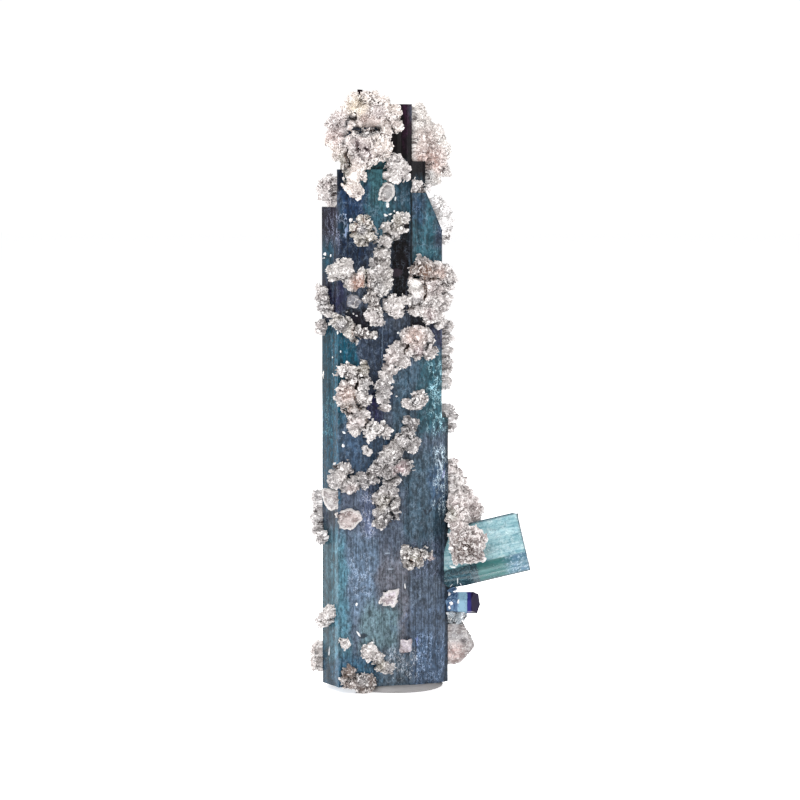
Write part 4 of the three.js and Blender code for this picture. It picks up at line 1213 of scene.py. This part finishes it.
def withLumps(piece, lumps):
    # joins small balls to a crust
    balls = []
    for x, y, z, radius in lumps:
        bpy.ops.object.select_all(action="DESELECT")
        bpy.ops.mesh.primitive_ico_sphere_add(subdivisions=2, radius=radius * mm, location=fromMm((x, y, z)))
        balls.append(bpy.context.object)
    joinedTo(piece, balls)


def shrunk(piece, part):
    alone(piece)
    bpy.ops.object.mode_set(mode="EDIT")
    bpy.ops.mesh.select_all(action="SELECT")
    bpy.ops.transform.resize(value=(part, 1, part))
    bpy.ops.object.mode_set(mode="OBJECT")


def raggedly(piece, amount):
    # lets a flake's outline wander
    texture = bpy.data.textures.new(piece.name + "Edge", "CLOUDS")
    texture.cloud_type = "COLOR"
    texture.noise_scale = crustShape["raggedGrain"] * mm
    withModifier(piece, "DISPLACE", texture=texture, texture_coords="LOCAL", direction="RGB_TO_XYZ",
                 strength=amount * mm, mid_level=0.5)


def tucked(piece, x, z, reach, shift):
    # pushes part of a crust sideways
    for vertex in piece.data.vertices:
        away = math.hypot(vertex.co.x / mm - x, vertex.co.z / mm - z)
        vertex.co.x += shift * mm * softStep(away / reach, 1.0, 0.4)


def bladed(piece, look, scatter, seed):
    # runs the blades' sheet on a crust
    alone(piece)
    bpy.ops.object.modifier_add(type="NODES")
    modifier = piece.modifiers[-1]
    modifier.node_group = scatter
    values = (look["spacing"] * mm, look["size"], *look["lean"], look["swell"] * mm, look["reach"] * mm,
              look["curls"], seed)
    sockets = [item for item in scatter.interface.items_tree if item.in_out == "INPUT"][1:]
    for socket, value in zip(sockets, values):
        modifier[socket.identifier] = value
    bpy.ops.object.modifier_apply(modifier=modifier.name)


def makeCrust(nodeName, look, scatter, material, seed):
    piece = copyOf(nodeName, nodeName + "_blades")
    if "lumps" in look:
        withLumps(piece, look["lumps"])
    withModifier(piece, "REMESH", mode="VOXEL", voxel_size=crustShape["voxel"] * mm)
    if "shrink" in look:
        shrunk(piece, look["shrink"])
    if "ragged" in look:
        raggedly(piece, look["ragged"])
    withModifier(piece, "SMOOTH", factor=0.5, iterations=look["rounding"])
    for tuck in look.get("tucks", []):
        tucked(piece, *tuck)
    marked(piece, look)
    bladed(piece, look, scatter, seed)
    tinted(piece, look["tone"], look.get("spots", []), look.get("clefts", []))
    settle(piece, look.get("slot", "cleavelandite"), material, nodeName)
    return piece


def makeCrusts():
    crystals = copyOf("tourmaline_prism", "host")
    joinedTo(crystals, [copyOf(name, name + "Host") for name in (
        "tourmaline_side", "tourmaline_buds", "tourmaline_tip")])
    blades = [makeBlade(name, bend) for name, bend in bladeShape["kinds"].items()]
    scatter = bladeScatter(blades, crystals)
    crustMaterial, flakeMaterial = crustPaint(), flakePaint()
    looks = {"cleavelandite_" + name: (crustMaterial, look) for name, look in crusts.items()}
    looks.update({"flake_" + name: (flakeMaterial, {**flakeLook, **look}) for name, look in flakes.items()})
    total = 0
    for i, (nodeName, (material, look)) in enumerate(looks.items()):
        piece = makeCrust(nodeName, {**crustShape, **look}, scatter, material, 100 + 10 * i)
        total += len(piece.data.polygons)
        print(nodeName, len(piece.data.polygons))
    removed(crystals, *blades)
    print("the crusts are done,", total, "faces")


makeCrusts()


chipShape = {
    "thick": 0.16, "corners": (0.65, 1.25),  # how flat the chips are, and how far their corners stray
    "paleness": (0.5, 1.0), "seed": 31,
}


def makeChips(hosts):
    # low flakes on the crystals' fronts, found by a ray from the front
    pieces = []
    roll = random.Random(chipShape["seed"])
    for x, z, width, height, turn, tone in prismChips:
        hits = [host.ray_cast(fromMm((x, -30, z)), Vector((0, 1, 0))) for host in hosts]
        spots = [hit[1] for hit in hits if hit[0]]
        if not spots:
            continue
        bpy.ops.object.select_all(action="DESELECT")
        bpy.ops.mesh.primitive_ico_sphere_add(subdivisions=1, radius=mm / 2)
        chip = bpy.context.object
        for vertex in chip.data.vertices:
            vertex.co *= roll.uniform(*chipShape["corners"])
        chip.scale = (width, chipShape["thick"], height)
        chip.rotation_euler = (0, math.radians(turn), 0)
        chip.location = min(spots, key=lambda place: place.y)
        alone(chip)
        bpy.ops.object.transform_apply(location=True, rotation=True, scale=True)
        tinted(chip, tone)
        for name in ("rim", "shade", "lift", "hollow"):
            mark = chip.data.attributes.new(name, "FLOAT", "POINT")
            for i in range(len(chip.data.vertices)):
                mark.data[i].value = roll.uniform(*chipShape["paleness"])
        pieces.append(chip)
    chips = pieces[0]
    joinedTo(chips, pieces[1:])
    chips.name = "chips"
    settle(chips, "cleavelandite_flake", bpy.data.materials["cleavelanditeBlades"])
    print("the chips are done")


makeChips([bpy.data.objects[name] for name in ("prism", "sideCrystal", "buds")])


bpy.context.scene.view_settings.view_transform = "Standard"
